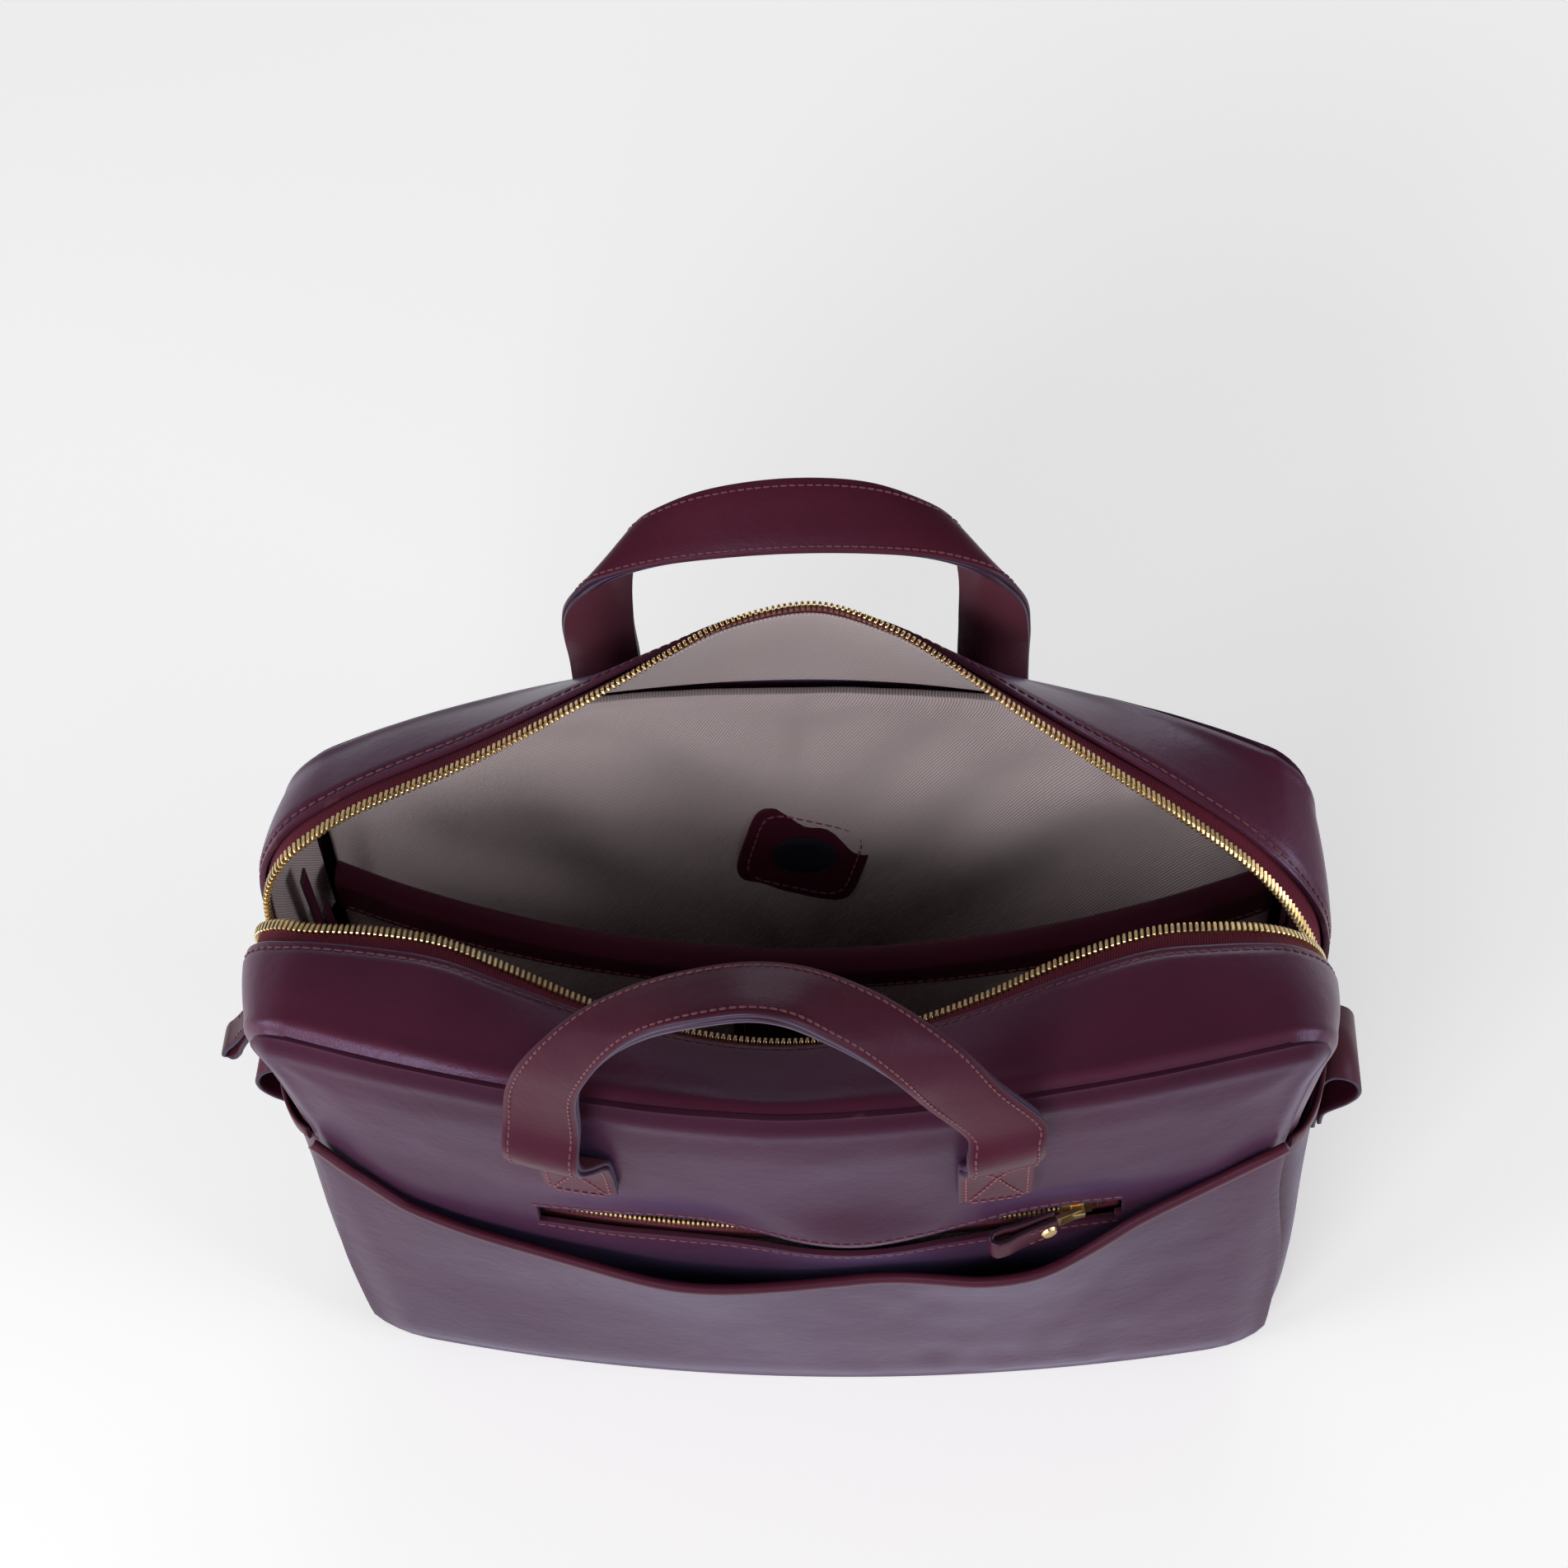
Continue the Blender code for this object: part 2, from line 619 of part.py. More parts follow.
def build_slider(name, location, rotation, row_gap, row_depth, parent=None):
    """Two plates either side of the tooth rows, a neck between the rows and a lug for the pull."""
    width = 0.0125
    length = 0.0130
    plate = 0.0012
    near = row_depth / 2 + GAP
    outer = box(name, (plate, width, length), (0, 0, 0), "brass")
    outer.data.transform(Matrix.Translation((-near - plate / 2, 0, 0)))
    inner = box(name + "_inner", (plate, width, length), (0, 0, 0), "brass")
    inner.data.transform(Matrix.Translation((near + plate / 2, 0, 0)))
    neck = box(name + "_neck", (2 * near + plate, 2 * (row_gap - GAP), length * 0.7), (0, 0, 0), "brass")
    lug = box(name + "_lug", (0.0046, 0.0030, 0.0050), (0, 0, 0), "brass")
    lug.data.transform(Matrix.Translation((-near - plate - 0.0020, 0, 0)))
    for piece in (neck, inner, lug):
        join(outer, piece)
        place(piece, location, rotation, parent)
    edge = outer.modifiers.new("edge", "BEVEL")
    edge.width = 0.0003
    edge.segments = 1
    return place(outer, location, rotation, parent)


def ribbon_sections(path, width, thickness):
    """Four-cornered sections along a path in the local XZ plane, width running along Y."""
    sections = []
    for i, point in enumerate(path):
        ahead = Vector(path[min(i + 1, len(path) - 1)]) - Vector(path[max(i - 1, 0)])
        side = Vector((ahead.y, -ahead.x)).normalized() * thickness / 2
        x, z = point
        half = width / 2
        sections.append([(x - side.x, -half, z - side.y), (x - side.x, half, z - side.y),
                         (x + side.x, half, z + side.y), (x + side.x, -half, z + side.y)])
    return sections


def build_pull(prefix, length, width, location, rotation, parent=None):
    """Yoke with a tongue, a folded leather tab riveted over the tongue, and the rivet's cap."""
    yoke = box(prefix + "_pull_link", (0.0016, 0.0066, YOKE_END + 0.0012), (0, 0, 0), "brass")
    yoke.data.transform(Matrix.Translation((0, 0, -YOKE_END / 2 + 0.0006)))
    window = box(prefix + "_link_window", (0.0060, 0.0038, YOKE_END), (0, 0, 0), "brass")
    window.data.transform(Matrix.Translation((0, 0, -YOKE_END / 2 + 0.0020)))
    hide_cutter(window)
    cut(yoke, window)
    tongue = box(prefix + "_link_tongue", (0.0010, 0.0050, TONGUE_END - YOKE_END + 0.001), (0, 0, 0), "brass")
    tongue.data.transform(Matrix.Translation((0, 0, -(TONGUE_END + YOKE_END) / 2)))
    join(yoke, tongue)
    layer = 0.0019
    near = 0.0005 + GAP + layer / 2
    top = -YOKE_END - GAP
    eye = 0.0026
    side = [(-near, mix(top, -length + 0.016, i / 3)) for i in range(4)]
    side += [(-near - 0.0004, -length + 0.010), (-eye - 0.0002, -length + 0.006)]
    turn = [(-eye * math.cos(a), -length + eye - eye * math.sin(a)) for a in (math.pi * i / 8 for i in range(9))]
    path = side + turn + [(-x, z) for x, z in reversed(side)]
    leather = bead(prefix + "_pull_leather", ribbon_sections(path, width, layer), "leather")
    rivet = disc(prefix + "_pull_rivet", 0.0034, 0.0010, (0, 0, 0), (0, 0, 0), "brass")
    turn_out = Matrix.Rotation(-math.pi / 2, 4, "Y")
    rivet.data.transform(Matrix.Translation((-near - layer / 2 - GAP - 0.0005, 0, -0.0135)) @ turn_out)
    for item in (yoke, window, tongue, leather, rivet):
        place(item, location, rotation, parent)


def build_main_zip():
    chain = Vector((-MAIN_CHAIN_X, 0, MAIN_SLIDER_Z))
    straight = Quaternion((1, 0, 0, 0))
    build_slider("main_slider", chain, straight, 0.0019, CHAIN_DEPTH)
    pin = chain + Vector((-CHAIN_DEPTH / 2 - GAP - 0.0012 - LUG_REACH, 0, 0))
    build_pull("main", MAIN_PULL_LENGTH, MAIN_PULL_WIDTH, pin, Quaternion((0, 1, 0), MAIN_PULL_TILT))
    for hand, sign in (("left", -1), ("right", 1)):
        box("zip_stop_" + hand, (0.0030, 0.0090, 0.0020), (sign * MAIN_CHAIN_X, 0, WING_TOP + 0.0016), "brass", 0.0003)


def build_pocket_slider():
    """The pocket zip runs on an arc, so its slider turns about that arc's centre."""
    axis = bpy.data.objects.new("pocket_zip_axis", None)
    parts.objects.link(axis)
    axis.location = (0, TRACK_FRONT_Y + TRACK_RADIUS, ZIP_SLOT_Z)
    axis.rotation_euler = (0, 0, POCKET_SLIDER_X / TRACK_RADIUS)
    turned = Matrix(((0, 0, 1), (1, 0, 0), (0, 1, 0))).to_quaternion()
    row_middle = Vector((0, -TRACK_RADIUS + 0.0003, 0))
    build_slider("pocket_slider", row_middle, turned, 0.0014, 0.0022, axis)
    pin = row_middle + Vector((0, -0.0011 - GAP - 0.0012 - LUG_REACH, 0))
    resting = turned @ Quaternion((0, 1, 0), POCKET_PULL_TILT)
    build_pull("pocket", POCKET_PULL_LENGTH, POCKET_PULL_WIDTH, pin, resting, axis)


def build_side_loops():
    """A strip sewn flat to each side of the bag, folded over into an eye and sewn down again."""
    flat = [(205.0, z) for z in (138, 148, 158, 168)]
    fold = [(205.6, 173.5), (208.5, 177), (213, 177), (217.5, 174), (220, 168.5), (219.5, 162.5), (216, 157),
            (211.5, 153), (208.2, 149.5), (207.3, 146), (207.3, 141)]
    path = millimetres(flat + fold)
    for hand, sign in (("left", -1), ("right", 1)):
        route = [(sign * x, z) for x, z in path]
        bead("side_loop_" + hand, ribbon_sections(route, LOOP_WIDTH, 0.0019), "leather")


# ---------------------------------------------------------------- divider and inside
DIVIDER_TOP = 0.226
DIVIDER_FOAM = 0.0040
CAP_HEIGHT = 0.024
CAP_LAYER = 0.0014


def divider_y(x, z):
    """Front of the divider: straight at the foot, bowed forwards at the top."""
    top = 0.044 - 0.030 * (1 - min(abs(x) / 0.188, 1.0) ** 2)
    return mix(0.018, top, z / DIVIDER_TOP)


def divider_grid(z0, z1, columns, rows):
    grid = []
    for r in range(rows + 1):
        z = mix(z0, z1, r / rows)
        edge = half_width(z, 0.0095)
        row = [edge * (2 * c / columns - 1) for c in range(columns + 1)]
        grid.append([Vector((x, divider_y(x, z), z)) for x in row])
    return grid


def build_divider():
    behind = (0, 0.3, 0.15)
    rows = divider_grid(0.010, DIVIDER_TOP, 12, 5)
    step = LINING + GAP
    sheet("divider_front_facing", rows, LINING, "lining", behind)
    sheet("divider_foam", sink(rows, step, behind), DIVIDER_FOAM, "foam", behind)
    sheet("divider_rear_facing", sink(rows, step + DIVIDER_FOAM + GAP, behind), LINING, "lining", behind)
    depth = 1.08 * (2 * step + DIVIDER_FOAM)
    out = 2 * GAP + CAP_LAYER
    cap = []
    for c in range(17):
        x = 0.1855 * (2 * c / 16 - 1)
        y = divider_y(x, DIVIDER_TOP)
        low = divider_y(x, DIVIDER_TOP - CAP_HEIGHT)
        cap.append([Vector((x, low - out, DIVIDER_TOP - CAP_HEIGHT)), Vector((x, y - out, DIVIDER_TOP)),
                    Vector((x, y - out * 0.4, DIVIDER_TOP + out * 0.8)),
                    Vector((x, y + depth / 2, DIVIDER_TOP + out * 1.1)),
                    Vector((x, y + depth + out * 0.4, DIVIDER_TOP + out * 0.8)),
                    Vector((x, y + depth + out, DIVIDER_TOP)),
                    Vector((x, low + depth + out, DIVIDER_TOP - CAP_HEIGHT))])
    sheet("divider_cap", cap, CAP_LAYER, "leather", (0, divider_y(0, DIVIDER_TOP) + depth / 2, 0.21))
    pocket = patch_grid(divider_y, -0.028, 0.028, 0.122, DIVIDER_TOP - CAP_HEIGHT - 0.001, 4, 5)
    sheet("divider_pocket", sink(pocket, -2 * GAP - 0.0016, behind), 0.0016, "leather", behind)


def build_inside():
    box("base_board", (0.320, 0.058, 0.0025), (0, 0.004, 0.0052), "board", 0.0006)
    for hand, sign in (("left", -1), ("right", 1)):
        box("gusset_binding_front_" + hand, (0.0012, 0.007, 0.046), (sign * 0.1915, 0.028, 0.228), "leather", 0.0003)
        box("gusset_binding_rear_" + hand, (0.0012, 0.007, 0.056), (sign * 0.1900, 0.036, 0.190), "leather", 0.0003)
    tilt = PATCH_TILT
    depth = REAR_LINING_DEPTH + LINING + 2 * GAP
    rows = []
    for r in range(5):
        v = PATCH_HEIGHT * (r / 4 - 0.5)
        row = []
        for c in range(5):
            u = PATCH_WIDTH * (c / 4 - 0.5)
            x = PATCH_X + u * math.cos(tilt) - v * math.sin(tilt)
            z = PATCH_Z + u * math.sin(tilt) + v * math.cos(tilt)
            row.append(Vector((x, rear_y(x, z), z)))
        rows.append(row)
    behind = (0, 0.3, 0.2)
    near_lining = sink(sink(rows, depth), 0.0012)
    sheet("lining_patch", sink(near_lining, 0.0), 0.0012, "leather", behind)
    middle = near_lining[2][2]
    lean = math.atan2(rear_y(PATCH_X, PATCH_Z + 0.01) - rear_y(PATCH_X, PATCH_Z - 0.01), 0.02)
    inset = disc("lining_patch_inset", 0.0135, 0.0008, middle + Vector((0, -0.0008, 0)), (0, 0, 0), "inset", 28)
    inset.data.transform(Matrix.Diagonal((1.0, 0.80, 1.0, 1.0)))
    inset.rotation_euler = (math.pi / 2 - lean, 0, 0)


empty_scene()
parts = new_collection("satchel_bag")
cutters = new_collection("satchel_bag_cutters")

build_panels()
build_padding()
build_gusset()
build_mouth()
build_handle("front", FRONT_HANDLE, (0, -0.085, 0.28), FRONT_PIVOT_Y)
build_handle("rear", REAR_HANDLE, (0, 0.09, 0.28), REAR_PIVOT_Y)
build_handle_ends()
build_slip_pocket()
build_pocket_zip()
build_pouch()
build_main_zip()
build_pocket_slider()
build_side_loops()
build_divider()
build_inside()
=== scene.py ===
# %% [markdown]
# # A zip-topped leather bag
# The solid model of the bag comes in as a fixed frame: every strap, panel and slider already has its
# place, and the handles, sliders and pulls already turn and travel. This script gives each piece its
# looks. Everything is in metres, +Z is up, and the front of the bag faces -Y.

# %% Load the frame
import math

import bmesh
import bpy
from mathutils import Matrix, Vector, noise


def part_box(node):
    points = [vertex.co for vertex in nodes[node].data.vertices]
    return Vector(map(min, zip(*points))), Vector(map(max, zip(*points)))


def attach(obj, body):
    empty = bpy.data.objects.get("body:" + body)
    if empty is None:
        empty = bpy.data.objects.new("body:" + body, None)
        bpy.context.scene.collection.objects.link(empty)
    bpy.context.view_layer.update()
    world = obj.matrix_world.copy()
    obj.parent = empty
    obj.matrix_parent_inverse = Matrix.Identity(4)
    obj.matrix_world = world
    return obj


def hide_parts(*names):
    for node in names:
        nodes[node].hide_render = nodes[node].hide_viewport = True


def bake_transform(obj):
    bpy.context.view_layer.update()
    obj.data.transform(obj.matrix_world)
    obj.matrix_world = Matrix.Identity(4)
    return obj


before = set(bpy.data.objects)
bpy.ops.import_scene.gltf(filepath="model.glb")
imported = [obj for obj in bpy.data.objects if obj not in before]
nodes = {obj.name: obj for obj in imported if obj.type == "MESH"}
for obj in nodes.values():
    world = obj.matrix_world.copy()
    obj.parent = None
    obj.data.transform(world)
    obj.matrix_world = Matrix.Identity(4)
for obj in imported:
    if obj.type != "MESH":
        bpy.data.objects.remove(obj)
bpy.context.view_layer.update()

# %% [markdown]
# ## Camera
# The camera looks down on the bag from the front, a little from the right, and is rolled a few degrees.
# Its three axes are built from the direction it looks in, and then turned about that direction.

# %% Camera
LENS = 60.5
CAMERA_AT = Vector((0.06155, -0.53935, 1.08570))
LOOKS_ALONG = Vector((-0.06501, 0.58959, -0.80508)).normalized()
ROLL = math.radians(-5.07)

camera_data = bpy.data.cameras.new("camera")
camera_data.lens = LENS
camera_data.sensor_width = 36.0
camera = bpy.data.objects.new("camera", camera_data)
bpy.context.scene.collection.objects.link(camera)
level_right = LOOKS_ALONG.cross(Vector((0, 0, 1))).normalized()
level_up = level_right.cross(LOOKS_ALONG)
right = level_right * math.cos(ROLL) + level_up * math.sin(ROLL)
up = level_up * math.cos(ROLL) - level_right * math.sin(ROLL)
camera.matrix_world = Matrix.Translation(CAMERA_AT) @ Matrix((right, up, -LOOKS_ALONG)).transposed().to_4x4()
bpy.context.scene.camera = camera
print("camera at", tuple(CAMERA_AT))

# %% [markdown]
# ## Small helpers
# Nearly every piece here is a sheet: rows of points that give its outer face, a UV map in metres so that a
# weave keeps its scale, and a Solidify modifier for its thickness. A second helper turns a path and a
# cross-section into a solid bar, which serves for straps, bindings and pulls.

# %% Numbers and curves
MM = 0.001


def mix(a, b, t):
    return a + (b - a) * t


def ease(t):
    t = min(max(t, 0.0), 1.0)
    return t * t * (3 - 2 * t)


def bump(distance, width):
    """1 at distance 0, falling smoothly to nothing a few widths away."""
    return math.exp(-(distance / width) ** 2)


def along(points, t):
    """Catmull-Rom point at t, which runs from 0 to len(points) - 1."""
    last = len(points) - 1
    i = min(int(t), last - 1)
    f = t - i
    p0 = Vector(points[max(i - 1, 0)])
    p1 = Vector(points[i])
    p2 = Vector(points[i + 1])
    p3 = Vector(points[min(i + 2, last)])
    straight = 2 * p1 + (p2 - p0) * f
    curved = (2 * p0 - 5 * p1 + 4 * p2 - p3) * f * f + (3 * p1 - p0 - 3 * p2 + p3) * f ** 3
    return (straight + curved) / 2


def in_metres(rows):
    return [tuple(value * MM for value in row) for row in rows]


def ripple(point, scale, seed=0.0):
    """Gentle unevenness between -1 and 1, the same every run."""
    return noise.noise(Vector(point) * scale + Vector((seed, seed * 1.7, -seed)))


# %% Sheets and bars
def row_lengths(points):
    total = [0.0]
    for a, b in zip(points, points[1:]):
        total.append(total[-1] + (Vector(b) - Vector(a)).length)
    return total


def grid_mesh(name, rows, skip=None):
    """Quads over rows of points, with a UV map in metres; skip(centre) leaves a face out."""
    mesh = bpy.data.meshes.new(name)
    bm = bmesh.new()
    layer = bm.loops.layers.uv.new("cloth")
    grid = [[bm.verts.new(point) for point in row] for row in rows]
    us = [row_lengths(row) for row in rows]
    vs = row_lengths([row[len(row) // 2] for row in rows])
    for r in range(len(grid) - 1):
        for c in range(len(grid[r]) - 1):
            corners = ((r, c), (r, c + 1), (r + 1, c + 1), (r + 1, c))
            verts = [grid[i][j] for i, j in corners]
            if skip and skip(sum((v.co for v in verts), Vector()) / 4):
                continue
            face = bm.faces.new(verts)
            face.smooth = True
            for loop, (i, j) in zip(face.loops, corners):
                loop[layer].uv = (us[i][j] - us[i][-1] / 2, vs[i])
    loose = [v for v in bm.verts if not v.link_faces]
    bmesh.ops.delete(bm, geom=loose, context="VERTS")
    bm.normal_update()
    bm.to_mesh(mesh)
    bm.free()
    return mesh


def face_away(mesh, centre):
    """Turns the sheet so that its faces look away from a centre point."""
    centre = Vector(centre)
    total = sum(face.normal.dot(face.center - centre) * face.area for face in mesh.polygons)
    if total < 0:
        mesh.flip_normals()


def new_object(name, mesh, material):
    item = bpy.data.objects.new(name, mesh)
    bpy.context.scene.collection.objects.link(item)
    if material:
        mesh.materials.append(material)
    return item


def sheet_piece(name, rows, thickness, material, centre=(0, 0, 0.15), rim=0.0005, skip=None):
    """A sheet thickened inwards from its outer face, its cut edges softened."""
    mesh = grid_mesh(name, rows, skip)
    face_away(mesh, centre)
    item = new_object(name, mesh, material)
    solid = item.modifiers.new("thickness", "SOLIDIFY")
    solid.thickness = thickness
    solid.offset = -1
    if rim:
        soft = item.modifiers.new("soft edge", "BEVEL")
        soft.width = rim
        soft.segments = 2
        soft.limit_method = "ANGLE"
        soft.angle_limit = math.radians(60)
    return item


def sunk(rows, depth, centre=(0, 0, 0.15)):
    """The same rows moved inwards along the sheet's own normals."""
    mesh = grid_mesh("guide", rows)
    face_away(mesh, centre)
    width = len(rows[0])
    moved = []
    for r in range(len(rows)):
        moved.append([Vector(rows[r][c]) - mesh.vertices[r * width + c].normal * depth for c in range(width)])
    bpy.data.meshes.remove(mesh)
    return moved


def bar_piece(name, sections, material):
    """A solid through a list of rings of points, closed at both ends."""
    mesh = bpy.data.meshes.new(name)
    bm = bmesh.new()
    layer = bm.loops.layers.uv.new("cloth")
    rings = [[bm.verts.new(point) for point in section] for section in sections]
    vs = row_lengths([section[0] for section in sections])
    us = row_lengths(list(sections[0]) + [sections[0][0]])
    for r in range(len(rings) - 1):
        count = len(rings[r])
        for c in range(count):
            n = (c + 1) % count
            face = bm.faces.new((rings[r][c], rings[r][n], rings[r + 1][n], rings[r + 1][c]))
            face.smooth = True
            spots = ((us[c], vs[r]), (us[c + 1], vs[r]), (us[c + 1], vs[r + 1]), (us[c], vs[r + 1]))
            for loop, spot in zip(face.loops, spots):
                loop[layer].uv = spot
    bm.faces.new(list(reversed(rings[0])))
    bm.faces.new(rings[-1])
    bmesh.ops.recalc_face_normals(bm, faces=bm.faces)
    bm.to_mesh(mesh)
    bm.free()
    return new_object(name, mesh, material)


def strap_ring(middle, across, out, width, thickness, crown=0.0):
    """A rounded strap section: flat, with soft corners, and raised a little along its middle."""
    half = width / 2
    r = min(thickness / 2, half) * 0.85
    profile = [(-half + r * 0.3, -thickness / 2), (-half, -thickness / 2 + r), (-half, thickness / 2 - r),
               (-half + r * 0.3, thickness / 2), (-half * 0.86, thickness / 2 + crown * 0.1),
               (-half * 0.76, thickness / 2 + crown * 0.75), (-half * 0.35, thickness / 2 + crown),
               (half * 0.35, thickness / 2 + crown), (half * 0.76, thickness / 2 + crown * 0.75),
               (half * 0.86, thickness / 2 + crown * 0.1), (half - r * 0.3, thickness / 2),
               (half, thickness / 2 - r), (half, -thickness / 2 + r), (half - r * 0.3, -thickness / 2)]
    return [middle + across * a + out * b for a, b in profile]


# %% [markdown]
# ## Stage and light
# A pale floor, a pale surrounding and large soft lights, slightly cool: smooth leather is dark by itself,
# and most of what the eye sees on it is the soft reflection of what is above.

# %% Stage and light
bpy.context.scene.view_settings.view_transform = "Standard"


def plain_material(name, colour, roughness):
    material = bpy.data.materials.new(name)
    material.use_nodes = True
    shader = material.node_tree.nodes["Principled BSDF"]
    shader.inputs["Base Color"].default_value = colour
    shader.inputs["Roughness"].default_value = roughness
    shader.inputs["Specular IOR Level"].default_value = 0.1
    return material


paper = plain_material("floor_paper", (0.88, 0.88, 0.88, 1.0), 0.95)
paper.node_tree.nodes["Principled BSDF"].inputs["Emission Color"].default_value = (1.0, 1.0, 1.0, 1.0)
paper.node_tree.nodes["Principled BSDF"].inputs["Emission Strength"].default_value = 0.36
bpy.ops.mesh.primitive_plane_add(size=40, location=(0, 0, -0.0002))
floor = bpy.context.object
floor.name = "floor"
floor.data.materials.append(paper)

world = bpy.data.worlds.new("studio")
world.use_nodes = True
sky = world.node_tree
direction = sky.nodes.new("ShaderNodeTexCoord")
split = sky.nodes.new("ShaderNodeSeparateXYZ")
sky.links.new(direction.outputs["Generated"], split.inputs["Vector"])
height = sky.nodes.new("ShaderNodeMapRange")
height.interpolation_type = "SMOOTHSTEP"
height.inputs["From Min"].default_value = 0.25
height.inputs["From Max"].default_value = 0.85
height.inputs["To Min"].default_value = 0.50
height.inputs["To Max"].default_value = 0.04
sky.links.new(split.outputs["Z"], height.inputs["Value"])
sky.links.new(height.outputs["Result"], sky.nodes["Background"].inputs["Strength"])
sky.nodes["Background"].inputs["Color"].default_value = (0.97, 0.97, 1.0, 1.0)
bpy.context.scene.world = world


def soft_light(name, location, target, size, power):
    data = bpy.data.lights.new(name, "AREA")
    data.shape = "RECTANGLE"
    data.size, data.size_y = size
    data.energy = power
    item = bpy.data.objects.new(name, data)
    bpy.context.scene.collection.objects.link(item)
    item.location = location
    item.rotation_euler = (Vector(target) - Vector(location)).to_track_quat("-Z", "Y").to_euler()
    return item


soft_light("left_key", (-2.2, -0.9, 1.05), (0, 0, 0.15), (1.3, 1.0), 23)
soft_light("front_key", (-0.9, -2.3, 1.25), (0, 0, 0.2), (1.4, 0.8), 34)
soft_light("right_fill", (2.2, -0.8, 1.1), (0, 0, 0.15), (1.2, 1.0), 20)
soft_light("back_light", (0.3, 2.3, 0.9), (0, 0, 0.25), (1.6, 0.8), 9)
print("stage set")

# %% [markdown]
# ## Finishes
# Each finish is a small node tree on a Principled shader. Leather gets a broad tone variation, fine pores
# and creases as bump, a roughness that wanders, and lighter worn edges found from how sharply the surface
# bends. The cloths use the UV map in metres, so a twill line is always half a millimetre apart.

# %% Node helpers
def node_tree(name):
    material = bpy.data.materials.new(name)
    material.use_nodes = True
    tree = material.node_tree
    return material, tree, tree.nodes["Principled BSDF"]


def add(tree, kind, settings=None, **inputs):
    node = tree.nodes.new(kind)
    for key, value in (settings or {}).items():
        setattr(node, key, value)
    for key, value in inputs.items():
        node.inputs[key.replace("_", " ")].default_value = value
    return node


def ramp(tree, source, stops):
    node = tree.nodes.new("ShaderNodeValToRGB")
    elements = node.color_ramp.elements
    while len(elements) < len(stops):
        elements.new(0.5)
    for element, (place, colour) in zip(elements, stops):
        element.position = place
        element.color = (*colour, 1.0) if len(colour) == 3 else colour
    tree.links.new(source, node.inputs["Fac"])
    return node.outputs["Color"]


def grey(value):
    return (value, value, value)


def scaled(tree, source, low, high):
    node = add(tree, "ShaderNodeMapRange")
    node.inputs["To Min"].default_value = low
    node.inputs["To Max"].default_value = high
    tree.links.new(source, node.inputs["Value"])
    return node.outputs["Result"]


def bumped(tree, height, distance, strength=1.0, below=None):
    node = add(tree, "ShaderNodeBump", Strength=strength, Distance=distance)
    tree.links.new(height, node.inputs["Height"])
    if below:
        tree.links.new(below, node.inputs["Normal"])
    return node.outputs["Normal"]


def space(tree, kind="Object"):
    return tree.nodes.new("ShaderNodeTexCoord").outputs[kind]


def noise_at(tree, where, scale, detail=3.0):
    node = add(tree, "ShaderNodeTexNoise", Scale=scale, Detail=detail)
    tree.links.new(where, node.inputs["Vector"])
    return node.outputs["Fac"]


def colour_mix(tree, factor, a, b, how="MIX"):
    node = tree.nodes.new("ShaderNodeMix")
    node.data_type = "RGBA"
    node.blend_type = how
    for index, value in ((0, factor), (6, a), (7, b)):
        if isinstance(value, (int, float)):
            node.inputs[index].default_value = value
        elif isinstance(value, tuple):
            node.inputs[index].default_value = (*value, 1.0)
        else:
            tree.links.new(value, node.inputs[index])
    return node.outputs[2]


# %% Leather finish
def leather_finish(name, dark, light, worn, roughness=(0.27, 0.39), shine=0.10,
                   grain=1.0, edge_wear=1.0, haze=0.16):
    """Smooth dyed leather: shine is the polish, haze the cool bloom that shows on it at a low angle."""
    material, tree, shader = node_tree(name)
    where = space(tree)
    broad = noise_at(tree, where, 9.0, 4.0)
    tone = ramp(tree, broad, [(0.30, dark), (0.72, light)])
    mottled = noise_at(tree, where, 170.0, 5.0)
    tone = colour_mix(tree, scaled(tree, mottled, 0.0, 0.35), tone, dark)
    bend = tree.nodes.new("ShaderNodeNewGeometry").outputs["Pointiness"]
    wear = ramp(tree, bend, [(0.52, grey(0.0)), (0.60, grey(0.55 * edge_wear))])
    tone = colour_mix(tree, wear, tone, worn)
    tree.links.new(tone, shader.inputs["Base Color"])
    gloss = noise_at(tree, where, 38.0, 4.0)
    tree.links.new(scaled(tree, gloss, *roughness), shader.inputs["Roughness"])
    pores = add(tree, "ShaderNodeTexVoronoi", {"feature": "SMOOTH_F1"}, Scale=1500.0)
    tree.links.new(where, pores.inputs["Vector"])
    creases = noise_at(tree, where, 260.0, 6.0)
    normal = bumped(tree, pores.outputs["Distance"], 0.00008 * grain, 0.5)
    normal = bumped(tree, creases, 0.00022 * grain, 0.6, normal)
    normal = bumped(tree, noise_at(tree, where, 46.0, 2.0), 0.0006 * grain, 0.5, normal)
    tree.links.new(normal, shader.inputs["Normal"])
    shader.inputs["IOR"].default_value = 1.5
    shader.inputs["Specular IOR Level"].default_value = shine
    shader.inputs["Specular Tint"].default_value = (0.60, 0.58, 0.95, 1.0)
    shader.inputs["Sheen Weight"].default_value = haze
    shader.inputs["Sheen Roughness"].default_value = 0.45
    shader.inputs["Sheen Tint"].default_value = (0.42, 0.42, 1.0, 1.0)
    return material


